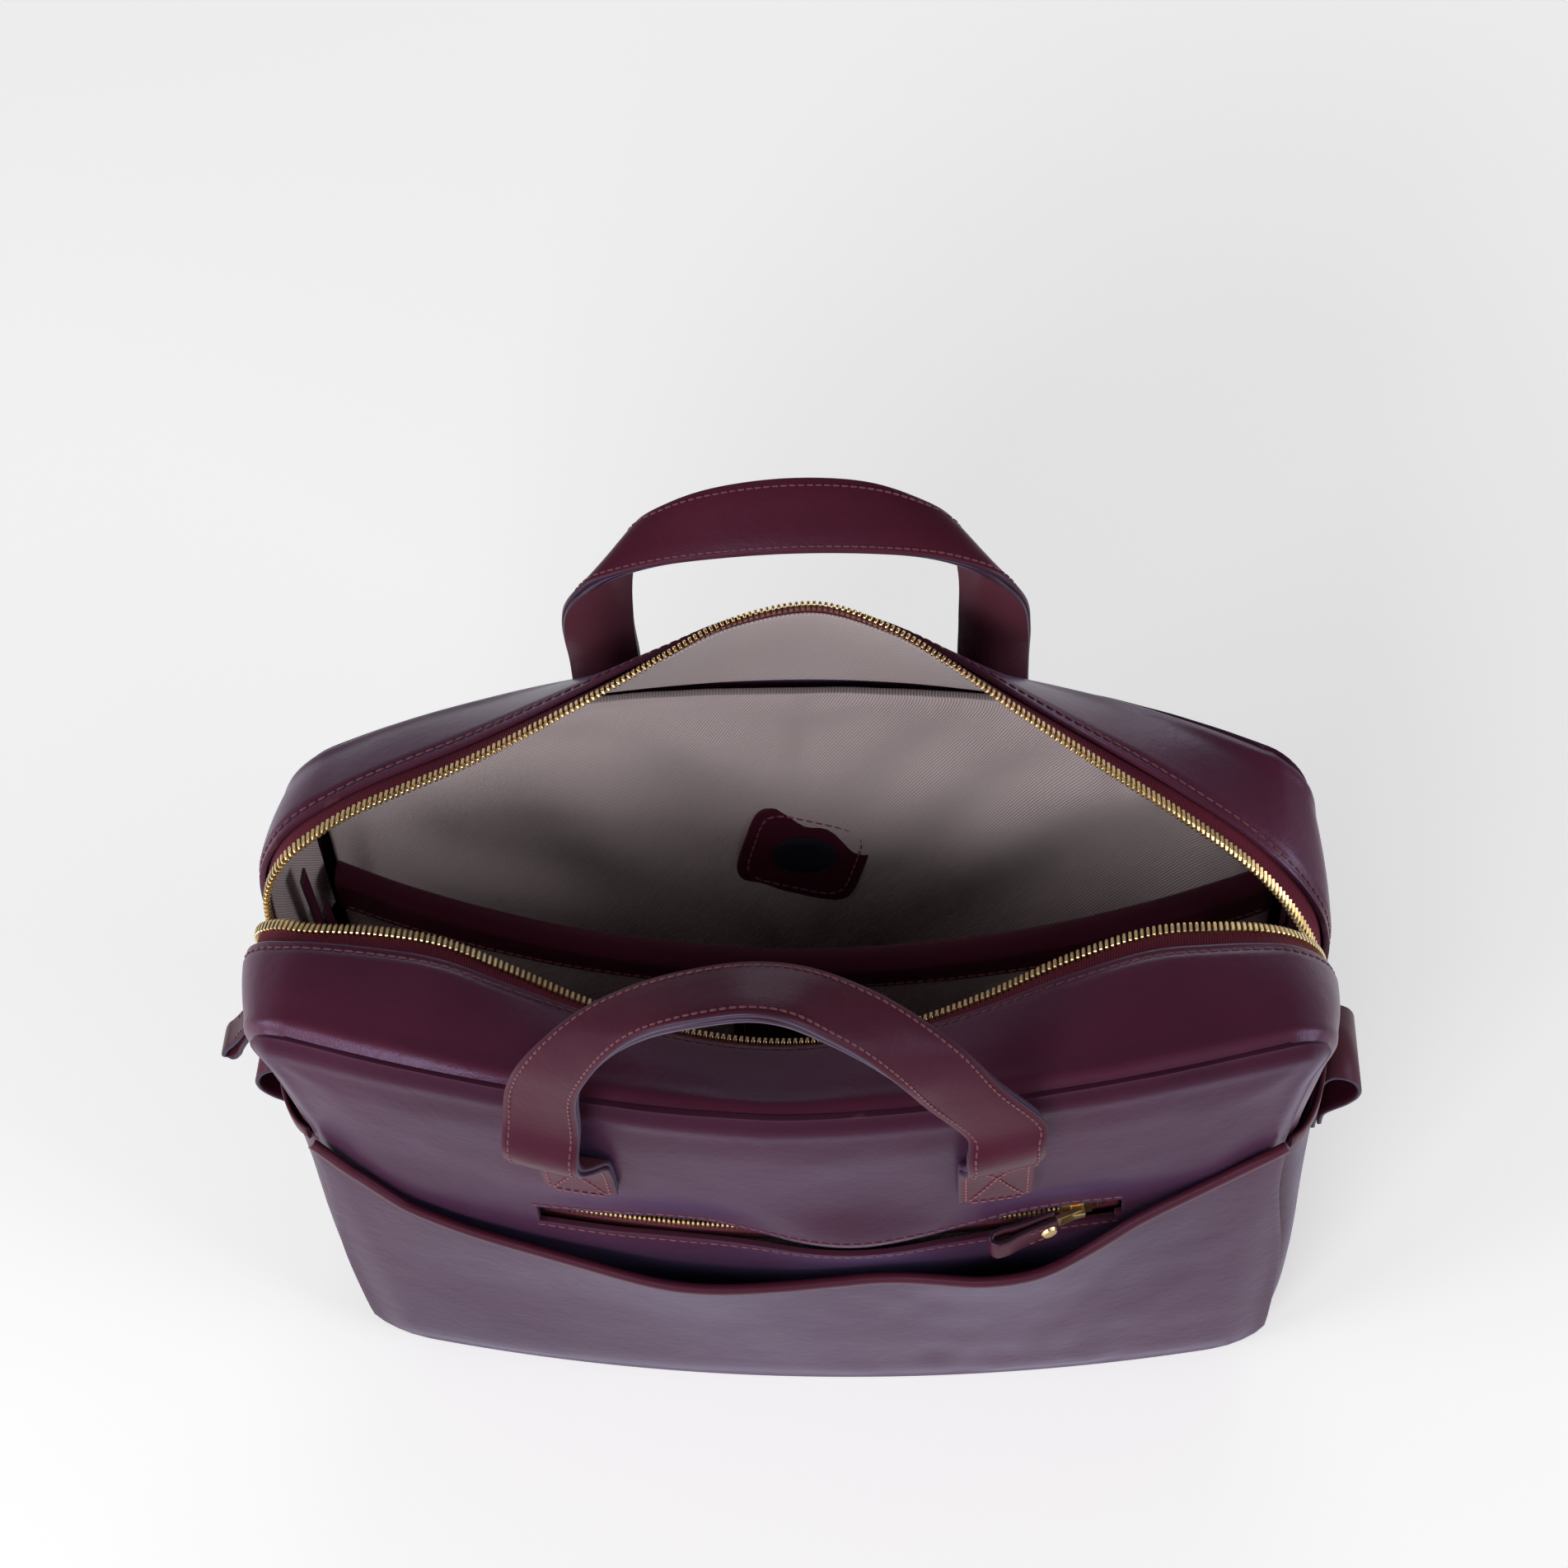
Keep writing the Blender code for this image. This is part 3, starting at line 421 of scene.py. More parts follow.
leather = leather_finish("burgundy_leather", (0.037, 0.0075, 0.0175), (0.060, 0.0130, 0.0290),
                         (0.098, 0.040, 0.062))
strap_leather = leather_finish("strap_leather", (0.046, 0.0075, 0.0165), (0.076, 0.0130, 0.0260),
                               (0.120, 0.042, 0.056), (0.28, 0.40), 0.12, haze=0.02)
# The bands beside the zip are the wall leather. This copy has a lighter base colour, which is painted light
# from above because the stage's overhead light is weak. Its higher shine is the shader's own.
band_leather_painted_lit = leather_finish("band_leather_painted_lit", (0.058, 0.0105, 0.0240), (0.094, 0.0185, 0.0390),
                              (0.130, 0.046, 0.066), shine=0.42, haze=0.10)
cut_edge = leather_finish("painted_edge", (0.020, 0.0055, 0.0095), (0.034, 0.0095, 0.0150),
                          (0.070, 0.030, 0.040), (0.30, 0.45), 0.45, 0.6)
black_leather = leather_finish("black_inset_leather", (0.006, 0.005, 0.006), (0.011, 0.010, 0.011),
                               (0.03, 0.03, 0.03), (0.40, 0.55))
print("leather finishes made")


# %% Cloth, thread and brass finishes
def twill_finish(name, dark, light, angle, pitch, sheen):
    material, tree, shader = node_tree(name)
    where = tree.nodes.new("ShaderNodeUVMap")
    where.uv_map = "cloth"
    turn = add(tree, "ShaderNodeMapping")
    turn.inputs["Rotation"].default_value = (0, 0, math.radians(angle))
    tree.links.new(where.outputs["UV"], turn.inputs["Vector"])
    lines = add(tree, "ShaderNodeTexWave", {"bands_direction": "X"}, Scale=math.pi / 10 / pitch,
                Distortion=0.6, Detail=1.0)
    lines.inputs["Detail Scale"].default_value = 2.0
    tree.links.new(turn.outputs["Vector"], lines.inputs["Vector"])
    threads = add(tree, "ShaderNodeTexWave", {"bands_direction": "Y"}, Scale=math.pi / 5 / pitch,
                  Distortion=0.3)
    tree.links.new(where.outputs["UV"], threads.inputs["Vector"])
    ribs = ramp(tree, lines.outputs["Fac"], [(0.15, dark), (0.75, light)])
    cloudy = noise_at(tree, space(tree), 18.0, 3.0)
    shade = colour_mix(tree, scaled(tree, cloudy, 0.0, 0.35), ribs, dark)
    tree.links.new(shade, shader.inputs["Base Color"])
    normal = bumped(tree, lines.outputs["Fac"], 0.00018, 0.7)
    normal = bumped(tree, threads.outputs["Fac"], 0.00006, 0.5, normal)
    tree.links.new(normal, shader.inputs["Normal"])
    fuzz = scaled(tree, threads.outputs["Fac"], 0.78, 0.95)
    tree.links.new(fuzz, shader.inputs["Roughness"])
    shader.inputs["Sheen Weight"].default_value = sheen
    shader.inputs["Sheen Roughness"].default_value = 0.5
    shader.inputs["Specular IOR Level"].default_value = 0.25
    return material


def thread_finish(name, dark, light):
    material, tree, shader = node_tree(name)
    twist = noise_at(tree, space(tree), 900.0, 2.0)
    tree.links.new(ramp(tree, twist, [(0.3, dark), (0.7, light)]), shader.inputs["Base Color"])
    tree.links.new(bumped(tree, twist, 0.0002), shader.inputs["Normal"])
    tree.links.new(scaled(tree, twist, 0.55, 0.75), shader.inputs["Roughness"])
    shader.inputs["Sheen Weight"].default_value = 0.2
    return material


def brass_finish(name, dark, light, roughness):
    material, tree, shader = node_tree(name)
    where = space(tree)
    cloud = noise_at(tree, where, 160.0, 4.0)
    bend = tree.nodes.new("ShaderNodeNewGeometry").outputs["Pointiness"]
    base = ramp(tree, cloud, [(0.3, dark), (0.7, light)])
    rubbed = ramp(tree, bend, [(0.50, grey(0.0)), (0.62, grey(0.7))])
    tree.links.new(colour_mix(tree, rubbed, base, (0.95, 0.80, 0.50)), shader.inputs["Base Color"])
    tree.links.new(scaled(tree, cloud, *roughness), shader.inputs["Roughness"])
    tree.links.new(bumped(tree, noise_at(tree, where, 1400.0, 3.0), 0.00003, 0.5), shader.inputs["Normal"])
    shader.inputs["Metallic"].default_value = 1.0
    return material


lining_twill = twill_finish("lining_twill", (0.330, 0.262, 0.268), (0.560, 0.470, 0.480), 38.0, 0.0010, 0.15)
tape_weave = twill_finish("zip_tape_weave", (0.085, 0.008, 0.022), (0.190, 0.020, 0.048), 90.0, 0.0010, 0.03)
burgundy_thread = thread_finish("burgundy_thread", (0.130, 0.018, 0.032), (0.260, 0.045, 0.070))
dark_thread = thread_finish("dark_thread", (0.085, 0.010, 0.022), (0.170, 0.024, 0.044))
brass = brass_finish("warm_brass", (0.58, 0.36, 0.10), (0.78, 0.52, 0.19), (0.24, 0.38))
print("cloth, thread and brass finishes made")

# %% [markdown]
# ## The shape of the bag
# Front and rear are padded panels that bow outwards, more at the top seam than at the base. Their outline is
# a rectangle with rounded corners. The same few formulas place every piece that is sewn to them. The frame's
# own boxes fix the driving sizes.

# %% Driving sizes, from the frame
low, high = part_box("front_panel")
HALF_WIDTH = round(high[0], 4)
SEAM_HEIGHT = 0.281
BASE_CORNER = 0.024
TOP_CORNER = 0.016
SIDE_BULGE = round(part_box("lower_gusset")[1][0] - HALF_WIDTH, 4)
WING_TOP = round(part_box("lower_gusset")[1][2], 4)
LEATHER = 0.0022
LINING = 0.0010
print("half width", HALF_WIDTH, "side bulge", SIDE_BULGE, "wing top", WING_TOP)


def front_plain_y(x, z):
    base = -0.045 - 0.019 * (1 - min(abs(x) / 0.191, 1.0) ** 2)
    top = -0.062 - 0.036 * (1 - min(abs(x) / HALF_WIDTH, 1.0) ** 1.6)
    return mix(base, top, z / SEAM_HEIGHT)


def rear_plain_y(x, z):
    base = 0.045 + 0.019 * (1 - min(abs(x) / 0.191, 1.0) ** 2)
    top = 0.062 + 0.045 * (1 - min(abs(x) / HALF_WIDTH, 1.0) ** 2.6)
    return mix(base, top, z / SEAM_HEIGHT)


def half_width(z, margin, drop=0.0):
    low_r = BASE_CORNER - margin
    high_r = TOP_CORNER - margin
    edge = HALF_WIDTH - margin
    z = z if z < BASE_CORNER else z + drop
    if z - margin < low_r:
        rise = low_r - (z - margin)
        return edge - low_r + math.sqrt(max(low_r ** 2 - rise ** 2, 0.0))
    if SEAM_HEIGHT - margin - z < high_r:
        rise = high_r - (SEAM_HEIGHT - margin - z)
        return edge - high_r + math.sqrt(max(high_r ** 2 - rise ** 2, 0.0))
    return edge


def tuck(z):
    """How far the front wall's sides pull in at mid height, where the side strip bulges past them."""
    return 0.0105 * bump(z - 0.192, 0.070) * ease((0.278 - z) / 0.03)


def edge_distance(x, z, pulled=0.0):
    """Roughly how far a point on a panel is from the panel's outline."""
    side = half_width(z, 0.0) - pulled - abs(x)
    return max(min(side, z, SEAM_HEIGHT - z), 0.0)


def front_soft(x, z):
    """How far the padded front stands out from its plain shape, in metres."""
    near_edge = edge_distance(x, z, tuck(z))
    puff = 0.0022 * ease(near_edge / 0.030)
    seam = 0.0005 * bump(near_edge - 0.0065, 0.0036) - 0.0030 * bump(near_edge, 0.0036)
    left_dent = -0.0040 * bump(x + 0.046, 0.040) * bump(z - 0.184, 0.016)
    right_dent = -0.0032 * bump(x - 0.096, 0.034) * bump(z - 0.186, 0.016)
    pushed = 0.0068 * bump(x - 0.024, 0.034) * bump(z - 0.180, 0.023)
    uneven = 0.0007 * ripple((x, 0, z), 22.0, 3.0) + 0.0003 * ripple((x, 0, z), 60.0, 5.0)
    return puff + seam + left_dent + right_dent + pushed + uneven


def rear_soft(x, z):
    puff = 0.0020 * ease(edge_distance(x, z) / 0.030)
    seam = 0.0005 * bump(edge_distance(x, z) - 0.0065, 0.0036) - 0.0030 * bump(edge_distance(x, z), 0.0036)
    uneven = 0.0008 * ripple((x, 1, z), 20.0, 9.0) + 0.0003 * ripple((x, 1, z), 60.0, 2.0)
    return puff + seam + uneven


def front_y(x, z):
    return front_plain_y(x, z) - front_soft(x, z)


def rear_y(x, z):
    return rear_plain_y(x, z) + rear_soft(x, z)


def panel_heights(margin, drop, steps):
    low_r = BASE_CORNER - margin
    high_r = TOP_CORNER - margin
    top = SEAM_HEIGHT - margin - drop
    heights = [margin + low_r * (1 - math.cos(math.pi / 2 * i / 12)) for i in range(12)]
    heights += [mix(margin + low_r, top - high_r, i / steps) for i in range(steps)]
    heights += [top - high_r + high_r * math.sin(math.pi / 2 * i / 9) for i in range(10)]
    return heights


def panel_rows(y_of, margin, columns, steps, drop=0.0, lines=(), narrow=0.0):
    rows = []
    heights = panel_heights(margin, drop, steps)
    for line in lines:
        nearest = min(range(len(heights)), key=lambda i: abs(heights[i] - line))
        heights[nearest] = line
    for z in heights:
        edge = half_width(z, margin, drop) - narrow * tuck(z)
        row = []
        for c in range(columns + 1):
            s = 2 * c / columns - 1
            x = edge * math.sin(s * math.pi / 2 * 0.92) / math.sin(math.pi / 2 * 0.92)
            row.append(Vector((x, y_of(x, z), z)))
        rows.append(row)
    return rows


def piece(item, body, finish_slot, *stands_for):
    """Puts a finished piece on its body and hides the frame nodes it stands for."""
    if body:
        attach(item, body)
    if stands_for:
        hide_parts(*stands_for)
    return item


# %% [markdown]
# ## Thread
# A sewn line is a row of short stitches, each a small pointed bead of thread half sunk into the leather.
# Laying them as geometry lets them catch the light one by one.

# %% Stitches
def path_points(points, spacing):
    """Points at even spacing along a path, each with its direction."""
    points = [Vector(p) for p in points]
    lengths = row_lengths(points)
    count = max(int(lengths[-1] / spacing), 1)
    spots = []
    segment = 0
    for i in range(count + 1):
        want = lengths[-1] * i / count
        while segment < len(lengths) - 2 and lengths[segment + 1] < want:
            segment += 1
        a, b = points[segment], points[segment + 1]
        f = (want - lengths[segment]) / max(lengths[segment + 1] - lengths[segment], 1e-9)
        spots.append((a.lerp(b, min(f, 1.0)), (b - a).normalized()))
    return spots


def stitches(name, paths, material, pitch=0.0040, radius=0.00042):
    mesh = bpy.data.meshes.new(name)
    bm = bmesh.new()
    for path in paths:
        for middle, ahead in path_points(path, pitch)[1:-1]:
            side = ahead.cross(Vector((0.3, 0.5, 0.8))).normalized()
            other = ahead.cross(side)
            rings = []
            for along_it, r in ((-0.41, 0.35), (-0.22, 0.95), (0.22, 0.95), (0.41, 0.35)):
                centre = middle + ahead * pitch * along_it
                rings.append([bm.verts.new(centre + (side * math.cos(a) + other * math.sin(a)) * radius * r)
                              for a in (math.pi / 3 * k for k in range(6))])
            for here, there in zip(rings, rings[1:]):
                for k in range(6):
                    bm.faces.new((here[k], here[(k + 1) % 6], there[(k + 1) % 6], there[k])).smooth = True
            bm.faces.new(reversed(rings[0]))
            bm.faces.new(rings[-1])
    bm.to_mesh(mesh)
    bm.free()
    return new_object(name, mesh, material)


# %% [markdown]
# ## Front and rear walls
# Each wall is one cut piece of leather over a soft backing, so it stands a little proud in the middle and
# pulls in where it is sewn. The front one sags inwards at both ends of the pocket zip, where the pocket
# gapes, and is pushed out between them.

# %% Walls
SLOT_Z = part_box("pocket_tooth_row_lower")[0][2] + 0.0039
SLOT_HALF = 0.124
SLOT_START = -0.100
SLOT_LOW = SLOT_Z - 0.007
SLOT_HIGH = SLOT_Z + 0.007


def in_slot(centre):
    return SLOT_START < centre.x < SLOT_HALF and SLOT_LOW < centre.z < SLOT_HIGH


front_rows = panel_rows(front_y, 0.0, 150, 84, lines=(SLOT_LOW, SLOT_HIGH), narrow=1.0)
front_wall = sheet_piece("front_wall", front_rows, LEATHER, leather, rim=0.0008, skip=in_slot)
piece(front_wall, "shell", "leather", "front_panel", "front_handle_stay_left", "front_handle_stay_right")
rear_rows = panel_rows(rear_y, 0.0, 120, 70)
rear_wall = sheet_piece("rear_wall", rear_rows, LEATHER, leather, rim=0.0008)
piece(rear_wall, "shell", "leather", "rear_panel", "rear_handle_stay_left", "rear_handle_stay_right")
print("walls:", len(front_wall.data.vertices), "and", len(rear_wall.data.vertices), "points")
print("zip slot at height", round(SLOT_Z, 4))

# %% [markdown]
# ## Sides and base
# One long strip runs down one side, under the base and up the other. Its sides bulge, and its two long
# edges are turned in where they meet the walls.

# %% Gusset
def gusset_route(top, steps_side=40, steps_corner=14, steps_base=60):
    r = BASE_CORNER
    route = [(-HALF_WIDTH, mix(top, r, i / steps_side), -1.0, 0.0) for i in range(steps_side)]
    for i in range(steps_corner):
        a = math.pi / 2 * i / steps_corner
        route.append((-HALF_WIDTH + r - r * math.cos(a), r - r * math.sin(a), -math.cos(a), -math.sin(a)))
    for i in range(steps_base + 1):
        route.append((mix(-HALF_WIDTH + r, HALF_WIDTH - r, i / steps_base), 0.0, 0.0, -1.0))
    return route + [(-x, z, -nx, nz) for x, z, nx, nz in reversed(route[:steps_side + steps_corner])]


def side_swell(nx, z, t, width):
    """How far the soft strip stands out from the bag's plain side, at a share t of its width."""
    out = SIDE_BULGE * ease(z / 0.06) * (4 * t * (1 - t)) ** 0.55 * 0.96 - tuck(z) * (1 - t) ** 8
    out -= 0.0012 * bump(min(t, 1 - t) * width, 0.0030) * ease(z / 0.01)
    return out + ease(z / 0.05) * 0.0005 * ripple((nx, t * 0.2, z), 16.0, 4.0)


def gusset_rows(depth, setback, across, soft):
    rows = []
    for x, z, nx, nz in gusset_route(WING_TOP):
        y0 = front_plain_y(x, z) + setback
        y1 = rear_plain_y(x, z) - setback
        row = []
        for c in range(across + 1):
            t = c / across
            out = SIDE_BULGE * ease(z / 0.09) * 4 * t * (1 - t)
            if soft:
                out = side_swell(nx, z, t, y1 - y0)
            row.append(Vector((x + nx * (out - depth), mix(y0, y1, t), z - nz * depth)))
        rows.append(row)
    return rows


gusset = sheet_piece("side_and_base_strip", gusset_rows(0.0, 0.0, 44, True), LEATHER, leather,
                     (0, 0, 0.16), 0.0008)
piece(gusset, "shell", "leather", "lower_gusset")
print("gusset:", len(gusset.data.vertices), "points")

# %% [markdown]
# Where the bands beside the zip come down to the side strip, the solid model leaves a narrow slit. A welt
# is assumed there to cover it, because the real joint is out of sight. It stops short of the zip on both
# sides, which leaves the zip's brass end stop free.

# %% Side welts
WELT_Z = 0.1972
WELT_PROUD = 0.0007
WELT_WIDTH = 0.0075
WELT_THICK = 0.0015


def welt_line(sign, first, last, steps=30):
    """Points along the side strip at the joint, between two shares of the strip's width."""
    y0, y1 = front_plain_y(0.1955, WELT_Z), rear_plain_y(0.1955, WELT_Z)
    line = []
    for i in range(steps + 1):
        t = mix(first, last, i / steps)
        out = HALF_WIDTH + side_swell(sign, WELT_Z, t, y1 - y0) + WELT_PROUD
        line.append(Vector((sign * out, mix(y0, y1, t), WELT_Z)))
    return line


for hand, sign in (("left", -1), ("right", 1)):
    for part, first, last in (("front", 0.012, 0.42), ("rear", 0.58, 0.988)):
        line = welt_line(sign, first, last)
        sections = []
        for i, point in enumerate(line):
            ahead = (line[min(i + 1, len(line) - 1)] - line[max(i - 1, 0)]).normalized()
            out = ahead.cross(Vector((0, 0, 1))).normalized() * sign
            sections.append(strap_ring(point, Vector((0, 0, 1)), out, WELT_WIDTH, WELT_THICK, 0.0002))
        piece(bar_piece(f"side_welt_{part}_{hand}", sections, strap_leather), "shell", "leather")
print("four side welts at height", WELT_Z)

# %% [markdown]
# ## The mouth
# Between each wall and the zip runs a wide soft band. Its lower edge dives into the wall's seam and its
# upper edge is folded under and topstitched beside the zip. The zip stands open: the rear band rises
# like a roof and the front band lies lower. Each row of the tables below pairs a point on the wall's
# outline (x, z) with the zip edge beside it (x, y, z), in millimetres.

# %% Bands beside the zip
FRONT_MOUTH = in_metres([
    (-195.5, 199, -204, -5.2, 199), (-195.5, 222, -204, -5.2, 222), (-195.5, 244, -204, -5.2, 246),
    (-195.5, 263, -202, -9, 268), (-190.8, 276.3, -191, -13, 280), (-179.5, 281, -176, -17, 284.5),
    (-150, 281, -150, -19, 285.5), (-125, 281, -125, -23, 284.5), (-100, 281, -100, -31, 279.5),
    (-70, 281, -70, -40.5, 272), (-35, 281, -35, -47.5, 265), (0, 281, 0, -50, 262.5),
    (35, 281, 35, -46.5, 265), (70, 281, 70, -37, 272), (100, 281, 100, -26.5, 280),
    (130, 281, 130, -18, 285), (155, 281, 155, -15, 284.5), (179.5, 281, 176, -12, 279),
    (190.8, 276.3, 190, -9, 268), (195.5, 263, 199, -6, 252), (195.5, 244, 203, -5.4, 234),
    (195.5, 222, 204, -5.2, 216), (195.5, 199, 203, -5.2, 199)])
REAR_MOUTH = in_metres([
    (-195.5, 199, -204, 5.2, 199), (-195.5, 222, -204, 5.2, 222), (-195.5, 244, -204, 5.2, 246),
    (-195.5, 263, -202, 8, 269), (-190.8, 276.3, -193, 12, 286), (-179.5, 281, -181, 18, 294),
    (-160, 281, -162, 28, 300), (-125, 281, -123, 45, 305.5), (-85, 281, -81, 63, 318),
    (-50, 281, -49, 79, 327), (-24, 281, -23, 91, 333), (6, 281, 9, 97, 335),
    (36, 281, 37, 89, 332), (60, 281, 60, 77, 326), (88, 281, 89, 60, 315),
    (117, 281, 119, 45, 302), (145, 281, 149, 31, 288), (170, 281, 172, 21, 273),
    (183, 280.5, 187, 13, 258), (193, 272, 198, 7, 241), (195.5, 248, 203, 5.3, 226),
    (195.5, 222, 204, 5.2, 213), (195.5, 199, 203, 5.2, 199)])
BAND_DOME = 0.0034
BAND_END = 0.84


def mouth_rows(y_of, side, table, t0, t1, across, steps, soft):
    panel = [(row[0], 0, row[1]) for row in table]
    zip_edge = [row[2:] for row in table]
    rows = []
    for i in range(steps + 1):
        s = (len(table) - 1) * i / steps
        foot = along(panel, s)
        x, z = foot.x, min(foot.z, SEAM_HEIGHT)
        if side < 0:
            x -= math.copysign(tuck(z) * ease((abs(x) - 0.17) / 0.02), x)
        seam = Vector((x, y_of(x, z) - side * (LEATHER + 0.0012), z))
        run = along(zip_edge, s) - seam
        length = run.length
        out = run.cross(Vector((side, 0, 0)))
        lift = Vector((math.copysign(ease((abs(x) - 0.17) / 0.025), x), 0, 0))
        out = (out.normalized() * (1 - abs(lift.x)) + lift).normalized()
        row = []
        for c in range(across + 1):
            t = mix(t0, t1, c / across)
            rise = BAND_DOME * 4 * t * (1 - t)
            if soft:
                rise += 0.0009 * bump(t * length - 0.0055, 0.0040) - 0.0012 * bump(t * length, 0.0030)
                rise += 0.0010 * ease(t * length / 0.006) * ease((BAND_END - t) * length / 0.006)
                rise -= 0.0006 * bump((BAND_END - t) * length - 0.0034, 0.0012)
                rise += 0.0009 * ripple((x, side, t * length), 26.0, 7.0) * ease(t * length / 0.01)
            row.append(seam + run * t + out * rise)
        rows.append(row)
    return rows


def back_from_end(row, distance):
    """The point on a row that lies a given distance before its last point."""
    for a, b in zip(reversed(row), list(reversed(row))[1:]):
        step = (a - b).length
        if step >= distance:
            return a.lerp(b, distance / step)
        distance -= step
    return row[0]


def tooth_row(name, edge_points, outward_points, up_points, width, depth, pitch, material):
    """Metal teeth clamped along an edge: each has a square foot and a narrower, rounded head."""
    mesh = bpy.data.meshes.new(name)
    bm = bmesh.new()
    lengths = row_lengths(edge_points)
    count = int(lengths[-1] / pitch)
    segment = 0
    for i in range(count):
        want = (i + 0.5) * pitch
        while segment < len(lengths) - 2 and lengths[segment + 1] < want:
            segment += 1
        f = (want - lengths[segment]) / max(lengths[segment + 1] - lengths[segment], 1e-9)
        edge = edge_points[segment].lerp(edge_points[segment + 1], f)
        outward = outward_points[segment]
        up = up_points[segment]
        ahead = outward.cross(up)
        rings = []
        for reach, half_long, half_high in ((-0.52, 0.24, 0.36), (-0.44, 0.31, 0.50), (0.55, 0.31, 0.50),
                                            (0.75, 0.24, 0.42), (0.95, 0.22, 0.30), (1.0, 0.14, 0.20)):
            centre = edge + outward * width * reach
            a, b = half_long * pitch, half_high * depth
            soft = [(-a, -b * 0.7), (-a, b * 0.7), (-a * 0.7, b), (a * 0.7, b), (a, b * 0.7), (a, -b * 0.7),
                    (a * 0.7, -b), (-a * 0.7, -b)]
            rings.append([bm.verts.new(centre + ahead * p + up * q) for p, q in soft])
        for here, there in zip(rings, rings[1:]):
            for k in range(8):
                bm.faces.new((here[k], here[(k + 1) % 8], there[(k + 1) % 8], there[k]))
        bm.faces.new(reversed(rings[0]))
        bm.faces.new(rings[-1])
    bmesh.ops.recalc_face_normals(bm, faces=bm.faces)
    bm.to_mesh(mesh)
    bm.free()
    print(name, "has", count, "teeth")
    return new_object(name, mesh, material)


for name, y_of, side, table in (("front", front_plain_y, -1, FRONT_MOUTH),
                                ("rear", rear_plain_y, 1, REAR_MOUTH)):
    band = mouth_rows(y_of, side, table, 0.0, BAND_END, 30, 220, True)
    # The bands take the lighter copy of the wall leather: their extra brightness is painted light from above.
    leather_band = sheet_piece(name + "_band", band, LEATHER, band_leather_painted_lit, rim=0.0008)
    piece(leather_band, "shell", "leather", name + "_top_gusset")
    sew = [back_from_end(row, 0.0034) for row in band]
    lifted = [p + (p - Vector((p.x * 0.9, 0, 0.15))).normalized() * 0.0003 for p in sew]
    piece(stitches(name + "_band_stitches", [lifted], dark_thread), "shell", "leather")
    sink_depth = LEATHER + 0.0009
    tape = sunk(mouth_rows(y_of, side, table, 0.60, 1.0, 8, 160, False), sink_depth)
    tape_sheet = sheet_piece(name + "_tape", tape, 0.0008, tape_weave, rim=0)
    piece(tape_sheet, "shell", "zip_tape", name + "_zip_tape")
    edges = [row[-1] for row in tape]
    outs = [(row[-1] - row[-2]).normalized() for row in tape]
    ups = []
    for i, out in enumerate(outs):
        ahead = edges[min(i + 1, len(edges) - 1)] - edges[max(i - 1, 0)]
        ups.append(out.cross(ahead.normalized()).normalized())
    outs = [up.cross(out).cross(up).normalized() for up, out in zip(ups, outs)]
    tooth_line = [e - u * 0.0004 for e, u in zip(edges, ups)]
    teeth = tooth_row(name + "_teeth", tooth_line, outs, ups, 0.0031, 0.0027, 0.0022, brass)
    piece(teeth, "shell", "brass", name + "_tooth_row")
    facing_start = 0.03 if side > 0 else 0.20
    facing = sunk(mouth_rows(y_of, side, table, facing_start, 0.90, 16, 160, False), sink_depth + 0.0010)
    inner = sheet_piece(name + "_band_lining", facing, LINING, lining_twill, rim=0.0003)
    piece(inner, "shell", "lining", name + "_top_lining")

# %% [markdown]
# ## Inside: padding and lining
# The inside faces are twill over a thin foam. Each pad is a closed shape, foam and cloth together, that is
# swelled a little by a short cloth simulation under pressure, so that it crowns between its seams.

# %% Padding
def swell(item, pressure, cap):
    """A short cloth simulation under inner pressure; no point may move further than cap."""
    rest = [v.co.copy() for v in item.data.vertices]
    cloth = item.modifiers.new("cloth", "CLOTH")
    cloth.settings.use_pressure = True
    cloth.settings.uniform_pressure_force = pressure
    cloth.settings.effector_weights.gravity = 0.0
    cloth.settings.quality = 5
    cloth.settings.tension_stiffness = 25
    cloth.settings.compression_stiffness = 25
    cloth.settings.bending_stiffness = 2.0
    cloth.collision_settings.use_collision = False
    group = item.vertex_groups.new(name="sewn")
    held = [i for i, v in enumerate(item.data.vertices) if item.data.attributes["sewn"].data[i].value > 0.5]
    group.add(held, 1.0, "REPLACE")
    cloth.settings.vertex_group_mass = "sewn"
    for number in range(1, 21):
        bpy.context.scene.frame_set(number)
    graph = bpy.context.evaluated_depsgraph_get()
    swollen = item.evaluated_get(graph).to_mesh()
    moved = [v.co.copy() for v in swollen.vertices]
    item.evaluated_get(graph).to_mesh_clear()
    item.modifiers.remove(cloth)
    bpy.context.scene.frame_set(1)
    far = 0.0
    for v, before, after in zip(item.data.vertices, rest, moved):
        step = after - before
        if step.length > cap:
            step = step.normalized() * cap
        v.co = before + step
        far = max(far, step.length)
    print(item.name, "swelled by at most", round(far * 1000, 2), "mm")
    return item


